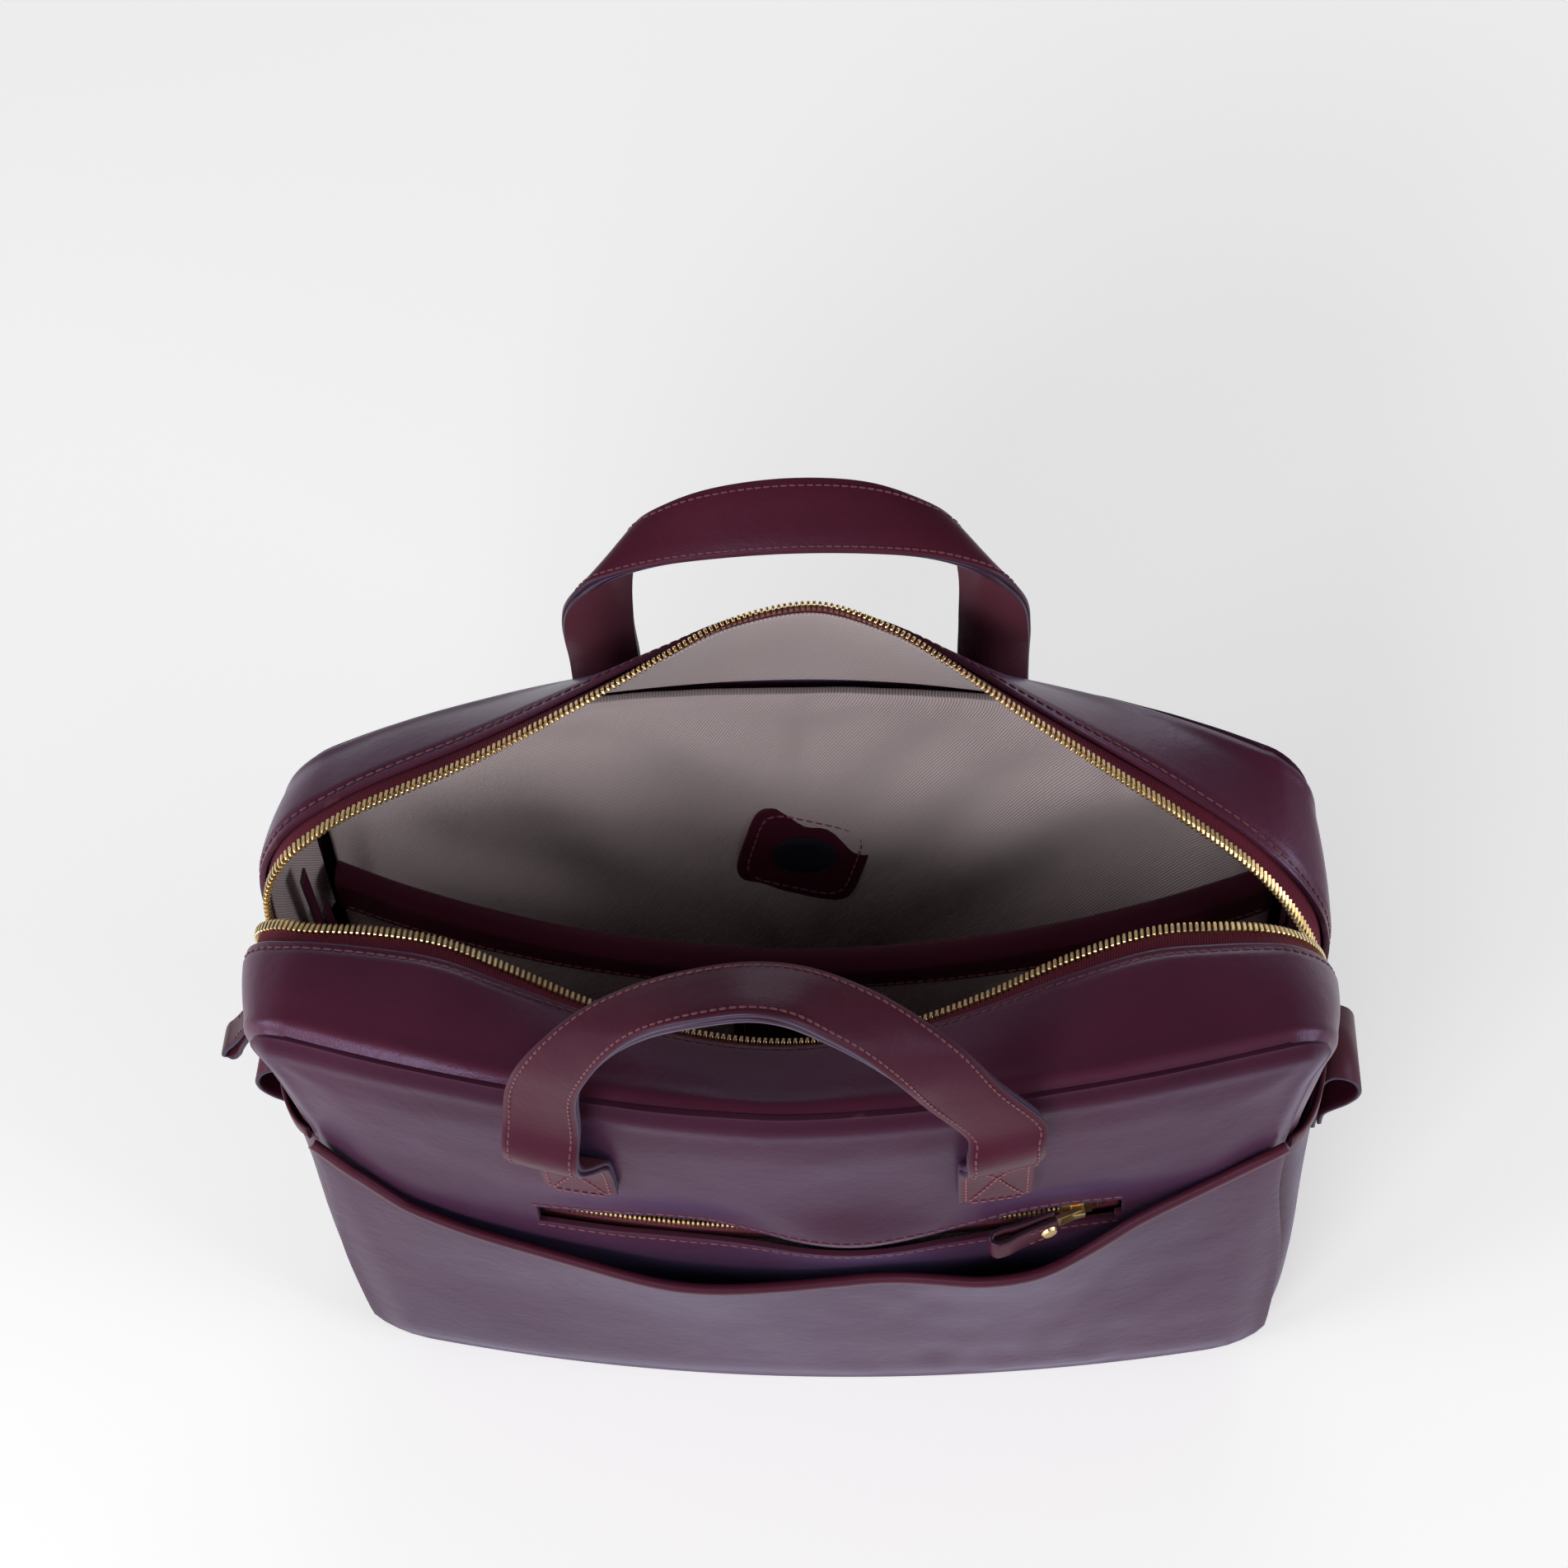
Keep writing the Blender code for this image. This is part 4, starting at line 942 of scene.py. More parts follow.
def pad_piece(name, rows, thickness, material, centre=(0, 0, 0.15), cap=0.0020, pressure=4.0):
    """A closed pad between a face of rows and the same rows sunk by its thickness; its rim is sewn."""
    back = sunk(rows, thickness, centre)
    mesh = bpy.data.meshes.new(name)
    bm = bmesh.new()
    layer = bm.loops.layers.uv.new("cloth")
    sewn = bm.verts.layers.float.new("sewn")
    sides = []
    count_r, count_c = len(rows), len(rows[0])
    us = row_lengths(rows[count_r // 2])
    vs = row_lengths([row[count_c // 2] for row in rows])
    for grid in (rows, back):
        side = []
        for r, row in enumerate(grid):
            line = []
            for c, point in enumerate(row):
                v = bm.verts.new(point)
                rim = min(r, c, count_r - 1 - r, count_c - 1 - c)
                v[sewn] = 1.0 if rim == 0 else 0.0
                line.append(v)
            side.append(line)
        sides.append(side)

    def add_face(corners):
        face = bm.faces.new([v for v, _, _ in corners])
        face.smooth = True
        for loop, (_, u, v) in zip(face.loops, corners):
            loop[layer].uv = (u, v)

    for side in sides:
        for r in range(count_r - 1):
            for c in range(count_c - 1):
                corners = ((r, c), (r, c + 1), (r + 1, c + 1), (r + 1, c))
                add_face([(side[i][j], us[j], vs[i]) for i, j in corners])
    rim = [(0, c) for c in range(count_c - 1)] + [(r, count_c - 1) for r in range(count_r - 1)]
    rim += [(count_r - 1, c) for c in range(count_c - 1, 0, -1)] + [(r, 0) for r in range(count_r - 1, 0, -1)]
    for k, (i, j) in enumerate(rim):
        m, n = rim[(k + 1) % len(rim)]
        add_face([(sides[0][i][j], us[j], vs[i]), (sides[0][m][n], us[n], vs[m]),
                  (sides[1][m][n], us[n], vs[m]), (sides[1][i][j], us[j], vs[i])])
    bmesh.ops.recalc_face_normals(bm, faces=bm.faces)
    bm.to_mesh(mesh)
    bm.free()
    item = new_object(name, mesh, material)
    swell(item, pressure, cap)
    smooth = item.modifiers.new("smooth", "SUBSURF")
    smooth.levels = smooth.render_levels = 1
    return item


FOAM = 0.0030
GAP = 0.0003
FRONT_PAD_DEPTH = 0.0120
REAR_PAD_DEPTH = LEATHER + 0.0012 + 5 * GAP
PAD_DROP = 0.012
pad_margin = LEATHER + LINING + 3 * GAP + 0.001


def wrinkled(rows, amount, seed):
    """Cloth that is held only at its edges never lies quite flat."""
    def shift(p):
        return amount * ripple(p, 30.0, seed) + amount * 0.5 * ripple(p, 75.0, seed)

    return [[p + Vector((0, shift(p), 0)) for p in row] for row in rows]


def slack_folds(p):
    """Long soft folds running down from the upper corners, dying out round the sewn patch and the edges."""
    spread = p.x * 0.85 + (p.z - 0.16) * (1.0 if p.x < 0 else -1.0)
    warp = 0.9 * ripple(p, 9.0, 21.0)
    fold = math.sin(spread * 52.0 + warp * 4.0) + 0.5 * math.sin(spread * 97.0 - warp * 5.0)
    clear = 1 - bump(math.hypot(p.x + 0.001, p.z - 0.187), 0.040)
    edge = ease((0.178 - abs(p.x)) / 0.03) * ease((0.272 - p.z) / 0.02)
    return 0.0023 * fold * clear * edge


front_inside = panel_rows(front_plain_y, pad_margin, 60, 34, PAD_DROP)
front_pad = pad_piece("front_inner_wall", wrinkled(sunk(front_inside, FRONT_PAD_DEPTH), 0.0007, 11.0),
                      FOAM + LINING, lining_twill, cap=0.0015)
piece(front_pad, "shell", "lining", "front_lining", "front_foam")
rear_inside = panel_rows(rear_plain_y, pad_margin, 90, 50)
rear_face = [[p + Vector((0, slack_folds(p), 0)) for p in row]
             for row in wrinkled(sunk(rear_inside, REAR_PAD_DEPTH + 0.0010), 0.0006, 12.0)]
rear_pad = pad_piece("rear_inner_wall", rear_face, FOAM + LINING, lining_twill, cap=0.0015)
piece(rear_pad, "shell", "lining", "rear_lining", "rear_foam")
side_lining = sheet_piece("side_lining", gusset_rows(LEATHER + GAP, 0.0185, 24, False), LINING, lining_twill,
                          (0, 0, 0.16), 0.0003)
piece(side_lining, "shell", "lining", "gusset_lining")

# %% [markdown]
# ## Handles
# Each handle is one long strap of two layers, sewn flat to the wall at both ends and free above the top
# seam. The strap bends where it leaves the wall, and the whole length is one piece, lying along the bag
# below that line and shaped as the handle above it. Each row below is one cross-section in millimetres: the
# edge that is outermost on the bag, then the inner edge.

# %% Handle straps
FRONT_HANDLE = in_metres([
    (-92, -90.5, 284.5, -65, -95.5, 286), (-92, -92, 300, -67, -101, 305),
    (-85, -92.5, 318, -60, -103.5, 325),
    (-71, -90, 335, -49, -106, 345), (-54, -86.5, 347, -37, -107, 358), (-32, -84, 357, -22, -109, 368),
    (-9, -82.5, 362, -5, -109.5, 373), (13, -82.5, 360, 8, -109.5, 370), (34, -84.5, 350, 20, -109, 358),
    (50, -88, 338, 32, -108.5, 345), (66, -91.5, 322, 43, -107, 327), (78, -93, 303, 51, -102.5, 306),
    (90, -90.5, 284.5, 63, -95.5, 284.5)])
REAR_HANDLE = in_metres([
    (-90, 107.5, 284.5, -62, 109, 284.5), (-90, 105, 306, -62.5, 111, 306), (-85, 103, 324, -62.5, 116, 328),
    (-74, 103, 336, -58, 122, 346), (-56, 104, 341, -43, 126, 358), (-32, 105, 344.5, -25, 127.5, 365),
    (0, 105, 347.5, 0, 128, 369), (32, 105, 348, 25, 127.5, 367), (57, 104, 346, 43, 126, 360),
    (76, 103, 339, 59, 122, 348), (87, 103, 325, 63, 116, 330), (90, 105, 306, 62.5, 111, 308),
    (90, 107.5, 284.5, 62, 109, 284.5)])
STRAP_WIDTH = 0.028
STRAP_LAYER = 0.0021
HANDLE_X = 0.076
HANDLE_FOOT = 0.213


def flat_end(y_of, side, x_out, x_in, foot):
    """Cross-sections of a sewn end, from its foot up to where the strap leaves the wall."""
    rows = []
    for z in (foot, foot + 0.009, 0.231, 0.240, 0.250, 0.260):
        off = 0.0024 + 0.0010 * ease((z - 0.248) / 0.012)
        rows.append((x_out, y_of(x_out, z) + side * off, z, x_in, y_of(x_in, z) + side * off, z))
    return rows


def slumped_end(y_of, x_out, x_in, foot, forward, lean):
    """A front end that has slumped: the strap rolls forwards over its own stitching before it rises."""
    rows = []
    for z, share in ((foot, 0.0), (foot + 0.010, 0.0), (0.239, 0.04), (0.247, 0.20), (0.2525, 0.60),
                     (0.259, 0.92), (0.268, 1.0), (0.279, 0.72)):
        off = 0.0024 + forward * share
        x_lean = lean * ease(share)
        rows.append((x_out + x_lean, y_of(x_out, z) - off + 0.001 * share, z + 0.001 * share,
                     x_in + x_lean, y_of(x_in, z) - off - 0.001 * share, z - 0.001 * share))
    return rows


def whole_strap(table, y_of, side):
    half = STRAP_WIDTH / 2
    if side < 0:
        left = slumped_end(y_of, -HANDLE_X - half, -HANDLE_X + half, HANDLE_FOOT + 0.006, 0.0095, -0.008)
        other = slumped_end(y_of, HANDLE_X + half, HANDLE_X - half, HANDLE_FOOT + 0.002, 0.0070, 0.003)
        return left + table[1:-1] + list(reversed(other))
    left = flat_end(y_of, side, -HANDLE_X - half, -HANDLE_X + half, HANDLE_FOOT)
    other = flat_end(y_of, side, HANDLE_X + half, HANDLE_X - half, HANDLE_FOOT)
    return left + table + list(reversed(other))


def strap_frames(table, steps):
    """Middle, across and outward directions along a strap."""
    frames = []
    count = len(table) - 1
    middles = []
    for i in range(steps + 1):
        t = count * i / steps
        outer = along([row[:3] for row in table], t)
        inner = along([row[3:] for row in table], t)
        middles.append(((outer + inner) / 2, (outer - inner).normalized()))
    for i, (middle, across) in enumerate(middles):
        ahead = (middles[min(i + 1, steps)][0] - middles[max(i - 1, 0)][0]).normalized()
        out = across.cross(ahead).normalized()
        frames.append((middle, across, out, ahead))
    return frames


def edge_painted(item):
    """Gives the two narrow sides and the cut ends of a strap the painted-edge finish."""
    item.data.materials.append(cut_edge)
    ring_points = 14
    for index, face in enumerate(item.data.polygons):
        if len(face.vertices) == 4 and index % ring_points in (0, 1, 2, 10, 11, 12):
            face.material_index = 1
        if len(face.vertices) > 4:
            face.material_index = 1
    return item


def build_strap(name, table, y_of, side, stands_for):
    frames = strap_frames(whole_strap(table, y_of, side), 260)
    facing = 1 if frames[8][2].y * side > 0 else -1
    start = Vector((0, y_of(0, 0.28), 0.262))
    end = Vector((0, y_of(0, 0.28), 0.307))
    made = []
    for label, offset, crown, nodes_for in (("strap", STRAP_LAYER / 2, 0.0005, stands_for[0]),
                                            ("backing", -STRAP_LAYER / 2 - 0.0001, 0.0, stands_for[1])):
        sections = []
        width = STRAP_WIDTH * (1 if label == "strap" else 0.985)
        for i, (middle, across, out, ahead) in enumerate(frames):
            out = out * facing
            wave = 0.0003 * ripple(middle, 40.0, 6.0)
            taper = 1.0 - 0.25 * ease((2 - min(i, 260 - i)) / 2)
            sections.append(strap_ring(middle + out * (offset + wave), across, out, width,
                                       (STRAP_LAYER - 0.0001) * taper, crown))
        item = edge_painted(bar_piece(f"{name}_{label}", sections, strap_leather))
        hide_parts(*nodes_for)
        made.append(item)
    top = STRAP_LAYER + 0.0002
    lines = [[], []]
    for middle, across, out, ahead in frames[24:-24]:
        for line, sign in zip(lines, (-1, 1)):
            line.append(middle + across * sign * (STRAP_WIDTH / 2 - 0.0027) + out * facing * (top + 0.0001))
    made.append(stitches(name + "_stitches", lines, dark_thread, 0.0032))
    for item in made:
        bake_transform(item)
    print(name, "strap length", round(row_lengths([f[0] for f in frames])[-1], 3), "m")
    return frames, facing


def box_stitches(name, frames, facing, reverse):
    """The rectangle and cross that hold a strap's end to the wall."""
    rows = list(reversed(frames)) if reverse else frames
    rows = [row for row in rows[:60] if HANDLE_FOOT + 0.003 <= row[0].z <= 0.250]
    half = STRAP_WIDTH / 2 - 0.0027

    def at(u, v):
        i = v * (len(rows) - 1)
        a, b = rows[int(i)], rows[min(int(i) + 1, len(rows) - 1)]
        f = i - int(i)
        crown = 0.0004 * (1 - abs(u) ** 4)
        return a[0].lerp(b[0], f) + a[1] * u * half + a[2] * facing * (STRAP_LAYER + 0.0003 + crown)

    def line(u0, v0, u1, v1):
        return [at(mix(u0, u1, k / 16), mix(v0, v1, k / 16)) for k in range(17)]

    paths = [line(-1, 0, 1, 0), line(1, 0, 1, 1), line(1, 1, -1, 1), line(-1, 1, -1, 0),
             line(-1, 0, 1, 1), line(-1, 1, 1, 0)]
    piece(stitches(name, paths, burgundy_thread, 0.0030, 0.00042), "shell", "leather")


for name, table, y_of, side in (("front_handle", FRONT_HANDLE, front_y, -1),
                                ("rear_handle", REAR_HANDLE, rear_y, 1)):
    stands = ((name + "_strap", name + "_end_left"), (name + "_backing", name + "_end_right"))
    frames, facing = build_strap(name, table, y_of, side, stands)
    box_stitches(name + "_box_left", frames, facing, False)
    box_stitches(name + "_box_right", frames, facing, True)

# %% [markdown]
# ## Slip pocket and zip pocket
# A full-width outer panel forms the open slip pocket. Its mouth dips in the middle and stands away from
# the wall, and its edge is bound with a rolled strip. Behind it the zip pocket's slot shows two rows of
# small teeth on a woven tape, which follows an arc, so that its slider turns about the arc's centre.

# %% Slip pocket
SLIP_MOUTH = in_metres([
    (-191, 202), (-178, 188), (-157, 167), (-128, 156), (-94, 149), (-50, 144), (0, 142), (40, 145),
    (75, 150), (108, 157), (139, 177), (165, 193), (191, 206)])
SLIP_LAYER = 0.0020


def slip_top(x):
    """Height of the mouth at x, rounded between the measured points."""
    for i, (left, right_one) in enumerate(zip(SLIP_MOUTH, SLIP_MOUTH[1:])):
        if x <= right_one[0]:
            f = (x - left[0]) / (right_one[0] - left[0])
            return along([(0, 0, p[1]) for p in SLIP_MOUTH], i + min(max(f, 0.0), 1.0)).z
    return SLIP_MOUTH[-1][1]


def slip_point(u, v):
    z = v * slip_top(u * 0.1905)
    x = u * (half_width(z, 0.0004) - tuck(z))
    slack = 0.0040 + 0.0090 * bump(x - 0.086, 0.034) + 0.0065 * bump(x + 0.046, 0.044)
    gap = slack * (1 - u ** 4) * v ** 2.5
    puff = 0.0014 * ease(edge_distance(x, z) / 0.02) * (1 - v ** 6)
    broad = 0.0014 * ripple((x, 2, z), 15.0, 8.0)
    fine = 0.0007 * ease(x / 0.05) * ripple((x * 2.2, 2, z), 34.0, 5.0)
    uneven = (broad + fine) * (1 - u ** 6) * ease(v / 0.1)
    flat = 0.0009 + SLIP_LAYER + 0.0018 * ease(edge_distance(x, z) / 0.02)
    return Vector((x, front_plain_y(x, z) - flat - gap - puff - uneven, z))


slip_rows = [[slip_point(2 * c / 130 - 1, v) for c in range(131)]
             for v in [0.0, 0.012, 0.03, 0.06, 0.1, 0.15] + [mix(0.2, 1.0, r / 40) for r in range(41)]]
slip_panel = sheet_piece("slip_pocket", slip_rows, SLIP_LAYER, leather, rim=0.0006)
piece(slip_panel, "shell", "leather", "slip_pocket_panel")

BINDING_RADIUS = 0.0019
sections = []
for c in range(181):
    u = 2 * c / 180 - 1
    here = slip_point(u, 1.0)
    ahead = (slip_point(min(u + 0.01, 1), 1.0) - slip_point(max(u - 0.01, -1), 1.0)).normalized()
    upright = Vector((0, 0, 1)) - ahead * ahead.z
    upright.normalize()
    back = upright.cross(ahead).normalized()
    back = back if back.y > 0 else -back
    centre = here + back * 0.0009 + upright * 0.0018
    ring = []
    for k in range(20):
        a = 2 * math.pi * k / 20
        tall = 0.0054 if math.sin(a) < 0 else BINDING_RADIUS
        r = 1.0 - 0.16 * bump(math.sin(a) - 0.30, 0.14)
        ring.append(centre + back * BINDING_RADIUS * math.cos(a) * r + upright * tall * math.sin(a) * r)
    sections.append(ring)
binding = bar_piece("slip_pocket_binding", sections, strap_leather)
piece(binding, "shell", "leather_edge", "slip_pocket_edge")

# %% Zip pocket
TRACK_RADIUS = 0.5360
TRACK_FRONT_Y = -0.0805


def track_point(x, depth, z):
    radius = TRACK_RADIUS - depth
    angle = x / TRACK_RADIUS
    return Vector((radius * math.sin(angle), TRACK_FRONT_Y + TRACK_RADIUS - radius * math.cos(angle), z))


for label, sign in (("upper", 1), ("lower", -1)):
    heights = [SLOT_Z + sign * (0.0038 + 0.0092 * i / 6) for i in range(7)]
    weave = [[track_point(mix(-0.126, 0.126, c / 120), 0.0002, z) for c in range(121)] for z in heights]
    strip = sheet_piece("pocket_tape_" + label, weave, 0.0008, tape_weave, (0, 0.3, SLOT_Z), 0)
    piece(strip, "shell", "zip_tape", "pocket_zip_tape_" + label)
    route = [track_point(mix(-0.120, 0.120, c / 160), 0.0003, SLOT_Z + sign * 0.0039) for c in range(161)]
    outs = [Vector((0, 0, -sign))] * 161
    ups = []
    for i, point in enumerate(route):
        ahead = route[min(i + 1, 160)] - route[max(i - 1, 0)]
        ups.append(Vector((0, 0, 1)).cross(ahead.normalized()).normalized())
    row = tooth_row("pocket_teeth_" + label, route, outs, ups, 0.0025, 0.0021, 0.0019, brass)
    piece(row, "shell", "brass", "pocket_tooth_row_" + label)

lip_high = [Vector((x, front_y(x, SLOT_HIGH + 0.0028) - 0.0001, SLOT_HIGH + 0.0028))
            for x in (mix(SLOT_START - 0.003, SLOT_HALF + 0.003, i / 90) for i in range(91))]
lip_low = [Vector((p.x, front_y(p.x, SLOT_LOW - 0.0028) - 0.0001, SLOT_LOW - 0.0028)) for p in lip_high]
piece(stitches("zip_pocket_stitches", [lip_high, lip_low], dark_thread), "shell", "leather")

pouch_half = SLOT_HALF + 0.014
rows = []
for i in range(49):
    x = mix(-pouch_half, pouch_half, i / 48)
    pinch = 1 - 0.75 * ease((abs(x) - SLOT_HALF - 0.004) / 0.010)
    near, far = 0.0056, 0.0056 + 0.0058 * pinch
    hood = mix(near, far, 0.42)
    outline = [(near, SLOT_Z - 0.0085)] + [(near, mix(SLOT_Z - 0.0085, 0.063, k / 8)) for k in range(1, 9)]
    outline += [(mix(near, far, 0.5), 0.062)] + [(far, mix(0.063, 0.197, k / 10)) for k in range(11)]
    outline += [(mix(hood, far, 0.5), 0.198), (hood, 0.197), (hood, SLOT_Z + 0.0085)]
    rows.append([Vector((x, front_plain_y(x, z) + depth, z)) for depth, z in outline])
pouch = sheet_piece("zip_pocket_bag", rows, 0.0006, lining_twill, (0, -0.065, 0.12), 0)
piece(pouch, "shell", "lining", "zip_pocket_pouch")

# %% [markdown]
# ## Sliders and pulls
# The brass sliders, links, rivets and stops keep their frame shapes, with softened edges. Each pull's
# leather is a strip folded back on itself round an open eye, and riveted over the link's tongue.

# %% Brass pieces
for name in ("main_slider", "main_pull_link", "main_pull_rivet", "pocket_slider", "pocket_pull_link",
             "pocket_pull_rivet", "zip_stop_left", "zip_stop_right"):
    item = nodes[name]
    item.data.materials.clear()
    item.data.materials.append(brass)
    round_off = item.modifiers.new("round", "BEVEL")
    round_off.width = 0.00035
    round_off.segments = 3
    round_off.limit_method = "ANGLE"
    round_off.harden_normals = False
print("eight brass pieces finished")


# %% Leather pulls
def pull_path(length, top=-0.0098):
    near = 0.0005 + GAP + 0.00095
    eye = 0.0026
    side = [Vector((-near, 0, mix(top, -length + 0.016, i / 6))) for i in range(7)]
    side += [Vector((-near - 0.0004, 0, -length + 0.010)), Vector((-eye - 0.0002, 0, -length + 0.006))]
    turn = [Vector((-eye * math.cos(a), 0, -length + eye - eye * math.sin(a)))
            for a in (math.pi * i / 12 for i in range(13))]
    return side + turn + [Vector((-p.x, 0, p.z)) for p in reversed(side)]


def leather_pull(name, length, width, place, body):
    path = pull_path(length)
    smooth_path = [along(path, (len(path) - 1) * i / 90) for i in range(91)]
    sections = []
    for i, point in enumerate(smooth_path):
        ahead = (smooth_path[min(i + 1, 90)] - smooth_path[max(i - 1, 0)]).normalized()
        out = Vector((0, 1, 0)).cross(ahead).normalized()
        pinch = 1 - 0.10 * bump((i - 45) / 45, 0.10)
        ring = strap_ring(point, Vector((0, 1, 0)), out, width * pinch, 0.0018, 0.0001)
        sections.append([place @ p for p in ring])
    item = edge_painted(bar_piece(name + "_leather_tab", sections, strap_leather))
    piece(item, body, "leather", name + "_pull_leather")
    reach = width / 2 - 0.0016
    flat = [Vector((-0.0029, 0, z)) for z in (-0.36 * length, -length + 0.012)]
    lines = [[place @ (p + Vector((0, sign * reach, 0))) for p in flat] for sign in (-1, 1)]
    piece(stitches(name + "_pull_stitches", lines, burgundy_thread, 0.0028, 0.0003), body, "leather")


main_low, main_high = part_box("main_pull_link")
MAIN_PIN = Vector((-0.2059, 0, 0.212))
main_place = Matrix.Translation(MAIN_PIN) @ Matrix.Rotation(math.radians(33), 4, "Y")
leather_pull("main", 0.051, 0.013, main_place, "main_pull")
turned = Matrix(((0, 0, 1), (1, 0, 0), (0, 1, 0))).to_4x4()
pocket_place = (Matrix.Translation((0, TRACK_FRONT_Y + TRACK_RADIUS, SLOT_Z))
                @ Matrix.Rotation(0.108 / TRACK_RADIUS, 4, "Z")
                @ Matrix.Translation((0, -TRACK_RADIUS + 0.0003 - 0.0011 - GAP - 0.0012 - 0.0026, 0))
                @ turned @ Matrix.Rotation(math.radians(12), 4, "Y"))
leather_pull("pocket", 0.036, 0.011, pocket_place, "pocket_pull")
print("main link box", main_low, main_high)

# %% Side loops
flat = [(205.0, z) for z in (138, 148, 158, 168)]
fold = [(205.6, 173.5), (208.5, 177), (213, 177), (217.5, 174), (220, 168.5), (219.5, 162.5), (216, 157),
        (211.5, 153), (208.2, 149.5), (207.3, 146), (207.3, 141)]
LOOP_WIDTH = 0.034
for hand, sign in (("left", -1), ("right", 1)):
    route = [Vector((sign * x, 0, z)) for x, z in in_metres(flat + fold)]
    fine = [along(route, (len(route) - 1) * i / 80) for i in range(81)]
    sections = []
    for i, point in enumerate(fine):
        ahead = (fine[min(i + 1, 80)] - fine[max(i - 1, 0)]).normalized()
        out = Vector((0, 1, 0)).cross(ahead).normalized() * sign
        sections.append(strap_ring(point, Vector((0, 1, 0)), out, LOOP_WIDTH, 0.0018, 0.0))
    loop = edge_painted(bar_piece("side_loop_" + hand + "_leather", sections, strap_leather))
    piece(loop, "shell", "leather", "side_loop_" + hand)
    tail = 0.2086
    lines = [[Vector((sign * tail, -0.013, z)), Vector((sign * tail, 0.013, z))] for z in (0.1430, 0.1462)]
    piece(stitches("side_loop_" + hand + "_stitches", lines, burgundy_thread, 0.0030), "shell", "leather")

# %% [markdown]
# ## The divider and the inside details
# A padded divider splits the inside for a flat computer. It has a glossy leather cap along its top, a
# small leather pocket on its front, and bindings where it meets the side lining.

# %% Divider
DIVIDER_TOP = 0.226
CAP_HEIGHT = 0.014
POCKET_TOP = 0.201
CAP_LAYER = 0.0014
BEHIND = (0, 0.3, 0.15)


def divider_y(x, z):
    top = 0.044 - 0.036 * (1 - min(abs(x) / 0.188, 1.0) ** 2)
    return mix(0.018, top, z / DIVIDER_TOP)


def sagging(p):
    """The divider's free top edge hangs a little between its two ends."""
    drop = 0.009 * (1 - min(abs(p.x) / 0.188, 1.0) ** 2) * (p.z / DIVIDER_TOP) ** 3
    return Vector((p.x, p.y, p.z - drop))


def divider_rows(z0, z1, columns, steps):
    rows = []
    for r in range(steps + 1):
        z = mix(z0, z1, r / steps)
        edge = half_width(z, 0.0095)
        xs = [edge * (2 * c / columns - 1) for c in range(columns + 1)]
        rows.append([Vector((x, divider_y(x, z), z)) for x in xs])
    return rows


divider_thick = 2 * LINING + 0.0040 + 2 * GAP
divider_face = [[sagging(p) + Vector((0, 0.0002, 0)) for p in row]
                for row in divider_rows(0.010, DIVIDER_TOP, 64, 40)]
divider = pad_piece("divider_pad", divider_face, divider_thick - 0.0004, lining_twill, BEHIND, 0.0012, 4.0)
piece(divider, "shell", "lining", "divider_front_facing", "divider_foam", "divider_rear_facing")

depth = 1.08 * divider_thick
out = 2 * GAP + CAP_LAYER
CAP_FOOT = DIVIDER_TOP - CAP_HEIGHT
cap_rows = []
for c in range(121):
    x = 0.1855 * (2 * c / 120 - 1)
    y = divider_y(x, DIVIDER_TOP)
    low_y = divider_y(x, CAP_FOOT)
    wave = 0.0003 * ripple((x, 5, 0), 40.0, 2.0)
    turn = [(low_y - out - 0.0003, CAP_FOOT), (low_y - out - 0.0004, CAP_FOOT + 0.001)]
    turn += [(mix(low_y, y, k / 7) - out - 0.0006, mix(CAP_FOOT, DIVIDER_TOP, k / 7)) for k in range(1, 7)]
    middle, reach = y + depth / 2, depth / 2 + out + 0.0004
    turn += [(middle - reach * math.cos(a), DIVIDER_TOP - 0.0005 + 0.0030 * math.sin(a))
             for a in (math.pi * k / 12 for k in range(13))]
    turn += [(mix(y, low_y, k / 6) + depth + out + 0.0003, mix(DIVIDER_TOP, CAP_FOOT, k / 6))
             for k in range(1, 7)]
    cap_rows.append([sagging(Vector((x, yy + wave, zz))) for yy, zz in turn])
cap_middle = (0, divider_y(0, DIVIDER_TOP) + depth / 2, 0.21)
cap = sheet_piece("divider_cap_leather", cap_rows, CAP_LAYER, strap_leather, cap_middle)
piece(cap, "shell", "leather", "divider_cap")
sew_z = CAP_FOOT + 0.0032
seam = [sagging(Vector((x, divider_y(x, sew_z) - out - 0.0009, sew_z)))
        for x in (0.184 * (2 * k / 100 - 1) for k in range(101))]
piece(stitches("divider_cap_stitches", [seam], burgundy_thread), "shell", "leather")
print("divider:", len(divider.data.vertices), "points, its cap", len(cap.data.vertices))


# %% Divider pocket, bindings, patch and board
def flat_patch(y_of, x0, x1, z0, z1, columns, steps, push=0.0):
    return [[Vector((x, y_of(x, z) - push * (1 - (2 * c / columns - 1) ** 4) * (r / steps) ** 2, z))
             for c, x in enumerate(mix(x0, x1, k / columns) for k in range(columns + 1))]
            for r, z in enumerate(mix(z0, z1, k / steps) for k in range(steps + 1))]


small = sunk([[sagging(p) for p in row] for row in
              flat_patch(divider_y, -0.028, 0.028, 0.122, POCKET_TOP, 24, 30, 0.0008)],
             -2 * GAP - 0.0016, BEHIND)
small_pocket = sheet_piece("divider_pocket_leather", small, 0.0016, strap_leather, BEHIND)
piece(small_pocket, "shell", "leather", "divider_pocket")
border = [small[r][2] for r in range(28, 1, -1)] + [small[2][c] for c in range(3, 22)]
border += [small[r][22] for r in range(2, 29)]
sewn = [p - Vector((0, 0.0002, 0)) for p in border]
piece(stitches("divider_pocket_stitches", [sewn], burgundy_thread), "shell", "leather")

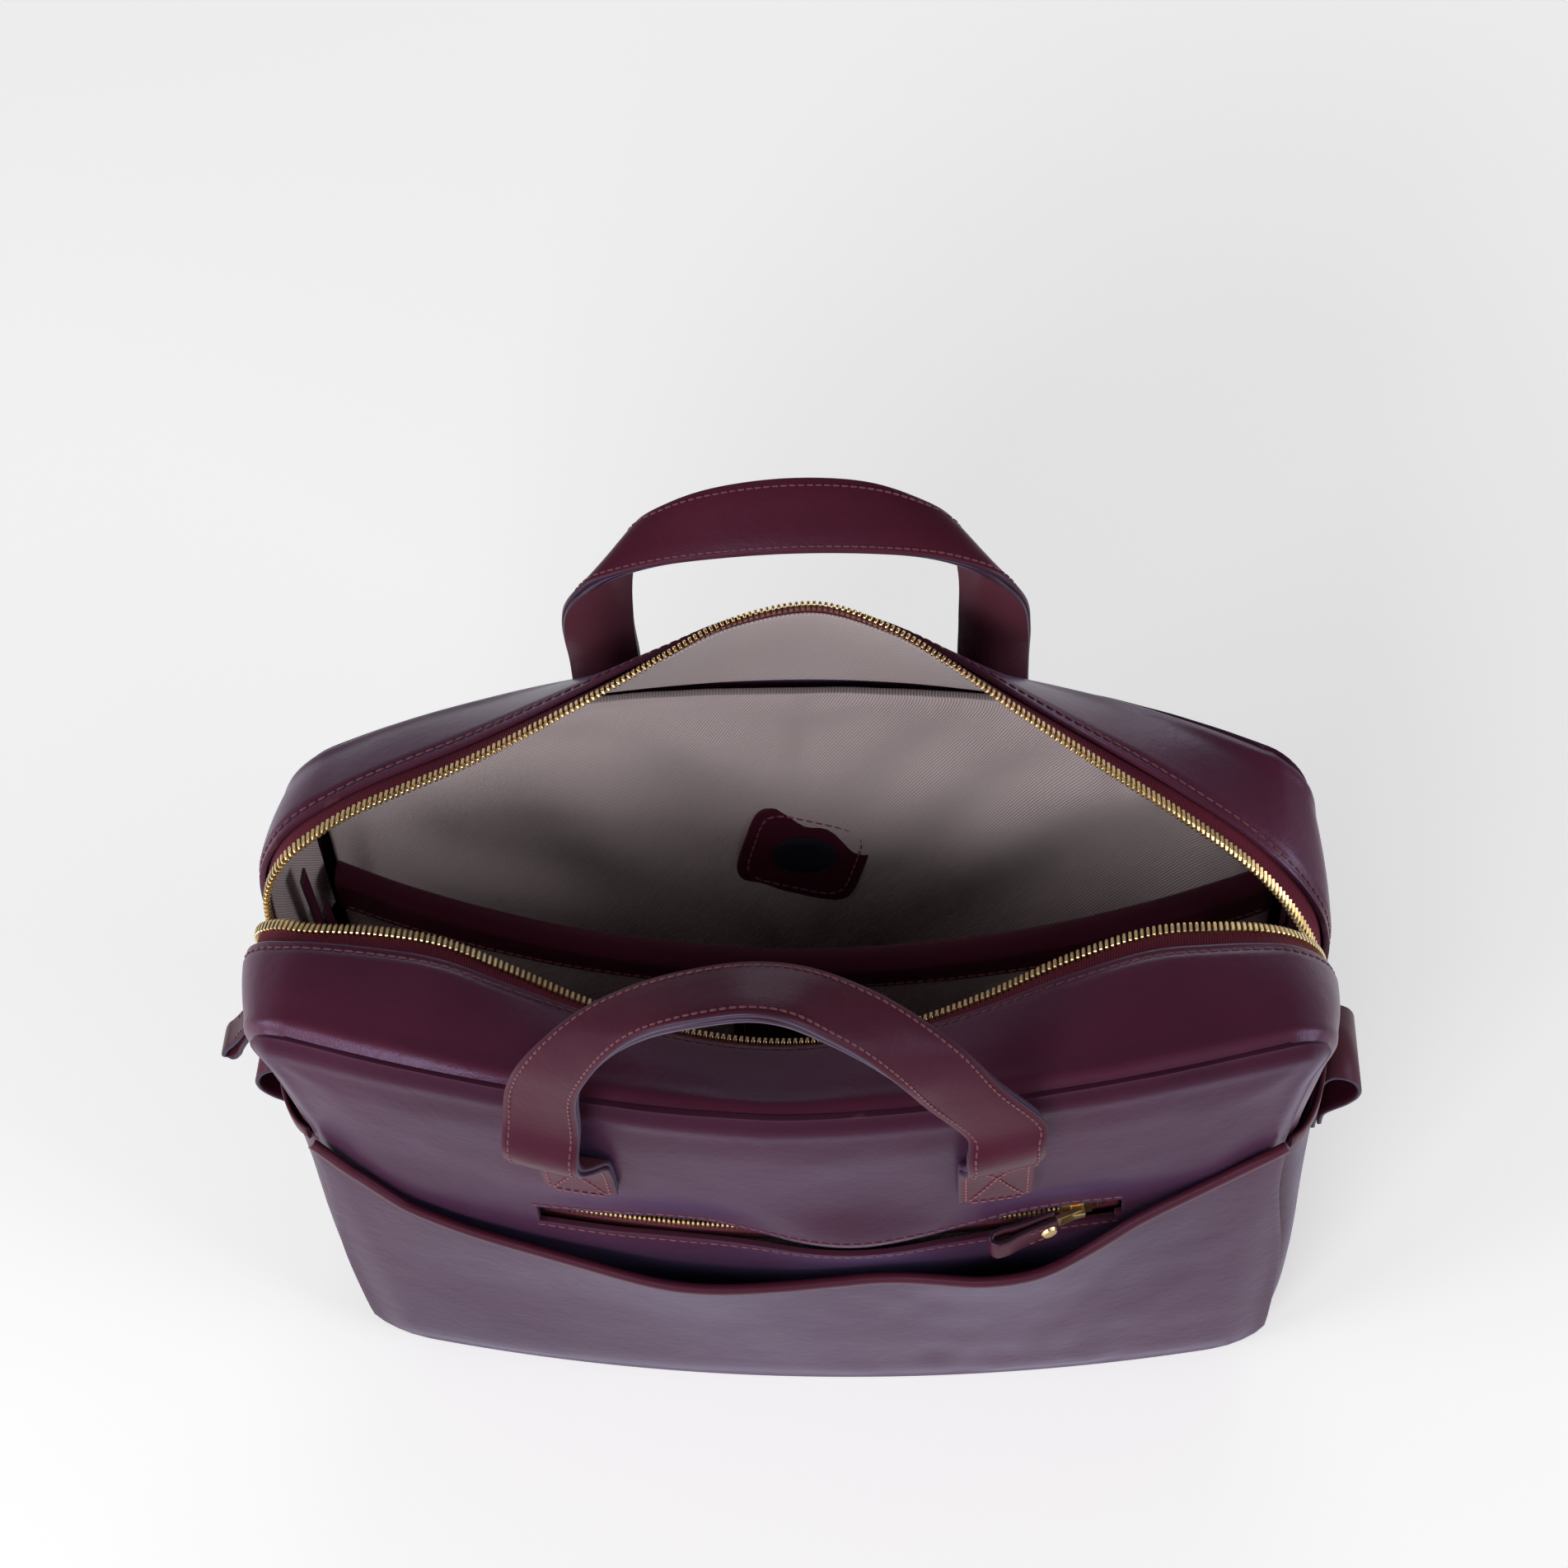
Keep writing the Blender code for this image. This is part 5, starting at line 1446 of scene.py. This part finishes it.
for part, hand, sign, x, y, z, width, height in (
        ("front", "left", -1, 0.1915, 0.028, 0.228, 0.007, 0.046),
        ("front", "right", 1, 0.1915, 0.028, 0.228, 0.007, 0.046),
        ("rear", "left", -1, 0.1900, 0.036, 0.190, 0.007, 0.056),
        ("rear", "right", 1, 0.1900, 0.036, 0.190, 0.007, 0.056)):
    sections = []
    for i in range(25):
        zz = z - height / 2 + height * i / 24
        swing = 0.0003 * ripple((sign, y, zz), 90.0, 3.0)
        sections.append(strap_ring(Vector((sign * x + swing, y, zz)), Vector((0, 1, 0)),
                                   Vector((-sign, 0, 0)), width, 0.0011, 0.0002))
    strip = edge_painted(bar_piece(f"binding_{part}_{hand}", sections, strap_leather))
    piece(strip, "shell", "leather", f"gusset_binding_{part}_{hand}")

TILT = math.radians(-17)
PATCH = (-0.001, 0.187, 0.052, 0.048)
patch_depth = REAR_PAD_DEPTH + FOAM + 2 * GAP + LINING + 2 * GAP + 0.0016


def patch_point(u, v):
    x = PATCH[0] + u * math.cos(TILT) - v * math.sin(TILT)
    z = PATCH[1] + u * math.sin(TILT) + v * math.cos(TILT)
    return Vector((x, rear_plain_y(x, z), z))


def patch_outline(u, v):
    """Rounds the patch's corners by drawing its grid in there."""
    largest = max(abs(u), abs(v), 1e-6)
    round_in = largest / (abs(u) ** 5 + abs(v) ** 5 + 1e-30) ** 0.2
    return patch_point(u * round_in * PATCH[2] / 2, v * round_in * PATCH[3] / 2)


patch_grid = [[patch_outline(2 * c / 24 - 1, 2 * r / 24 - 1) for c in range(25)] for r in range(25)]
patch_rows = sunk(patch_grid, patch_depth)
patch = sheet_piece("lining_patch_leather", patch_rows, 0.0011, strap_leather, BEHIND)
piece(patch, "shell", "leather", "lining_patch")
frame_line = [patch_rows[2][c] for c in range(2, 23)] + [patch_rows[r][22] for r in range(3, 23)]
frame_line += [patch_rows[22][c] for c in range(21, 1, -1)] + [patch_rows[r][2] for r in range(21, 1, -1)]
sewn = [p - Vector((0, 0.0002, 0)) for p in frame_line]
piece(stitches("lining_patch_stitches", [sewn], burgundy_thread), "shell", "leather")

centre_point = patch_rows[12][12]
lean = math.atan2(rear_plain_y(PATCH[0], PATCH[1] + 0.01) - rear_plain_y(PATCH[0], PATCH[1] - 0.01), 0.02)
away = Vector((0, -math.cos(lean), math.sin(lean)))
upward = Vector((0, math.sin(lean), math.cos(lean)))
rings = []
for height, share in ((0.0, 1.0), (0.0006, 1.0), (0.0010, 0.96), (0.0010, 0.90), (0.0006, 0.86),
                      (0.0007, 0.5)):
    rings.append([centre_point + away * (0.0002 + height) + Vector((1, 0, 0)) * 0.0135 * share * math.cos(a)
                  + upward * 0.0108 * share * math.sin(a) for a in (2 * math.pi * k / 56 for k in range(56))])
inset = bar_piece("lining_patch_oval", rings, black_leather)
piece(inset, "shell", "dark_inset", "lining_patch_inset")

board_finish = plain_material("base_board_fibre", (0.22, 0.17, 0.12, 1.0), 0.85)
fibre = board_finish.node_tree
fibre_noise = noise_at(fibre, space(fibre), 240.0, 5.0)
fibre.links.new(ramp(fibre, fibre_noise, [(0.3, (0.17, 0.13, 0.09)), (0.7, (0.27, 0.21, 0.15))]),
                fibre.nodes["Principled BSDF"].inputs["Base Color"])
fibre.links.new(bumped(fibre, fibre_noise, 0.0003), fibre.nodes["Principled BSDF"].inputs["Normal"])
sections = []
for i in range(33):
    x = mix(-0.160, 0.160, i / 32)
    inset_y = 0.006 * ease((abs(x) - 0.152) / 0.008)
    y0, y1 = -0.025 + inset_y, 0.033 - inset_y
    middle = mix(y0, y1, 0.5)
    outline = ((y0, 0.0040), (y0, 0.0064), (middle, 0.0065), (y1, 0.0064), (y1, 0.0040), (middle, 0.0039))
    sections.append([Vector((x, y, z)) for y, z in outline])
board = bar_piece("base_stiffener", sections, board_finish)
piece(board, "shell", "board", "base_board")
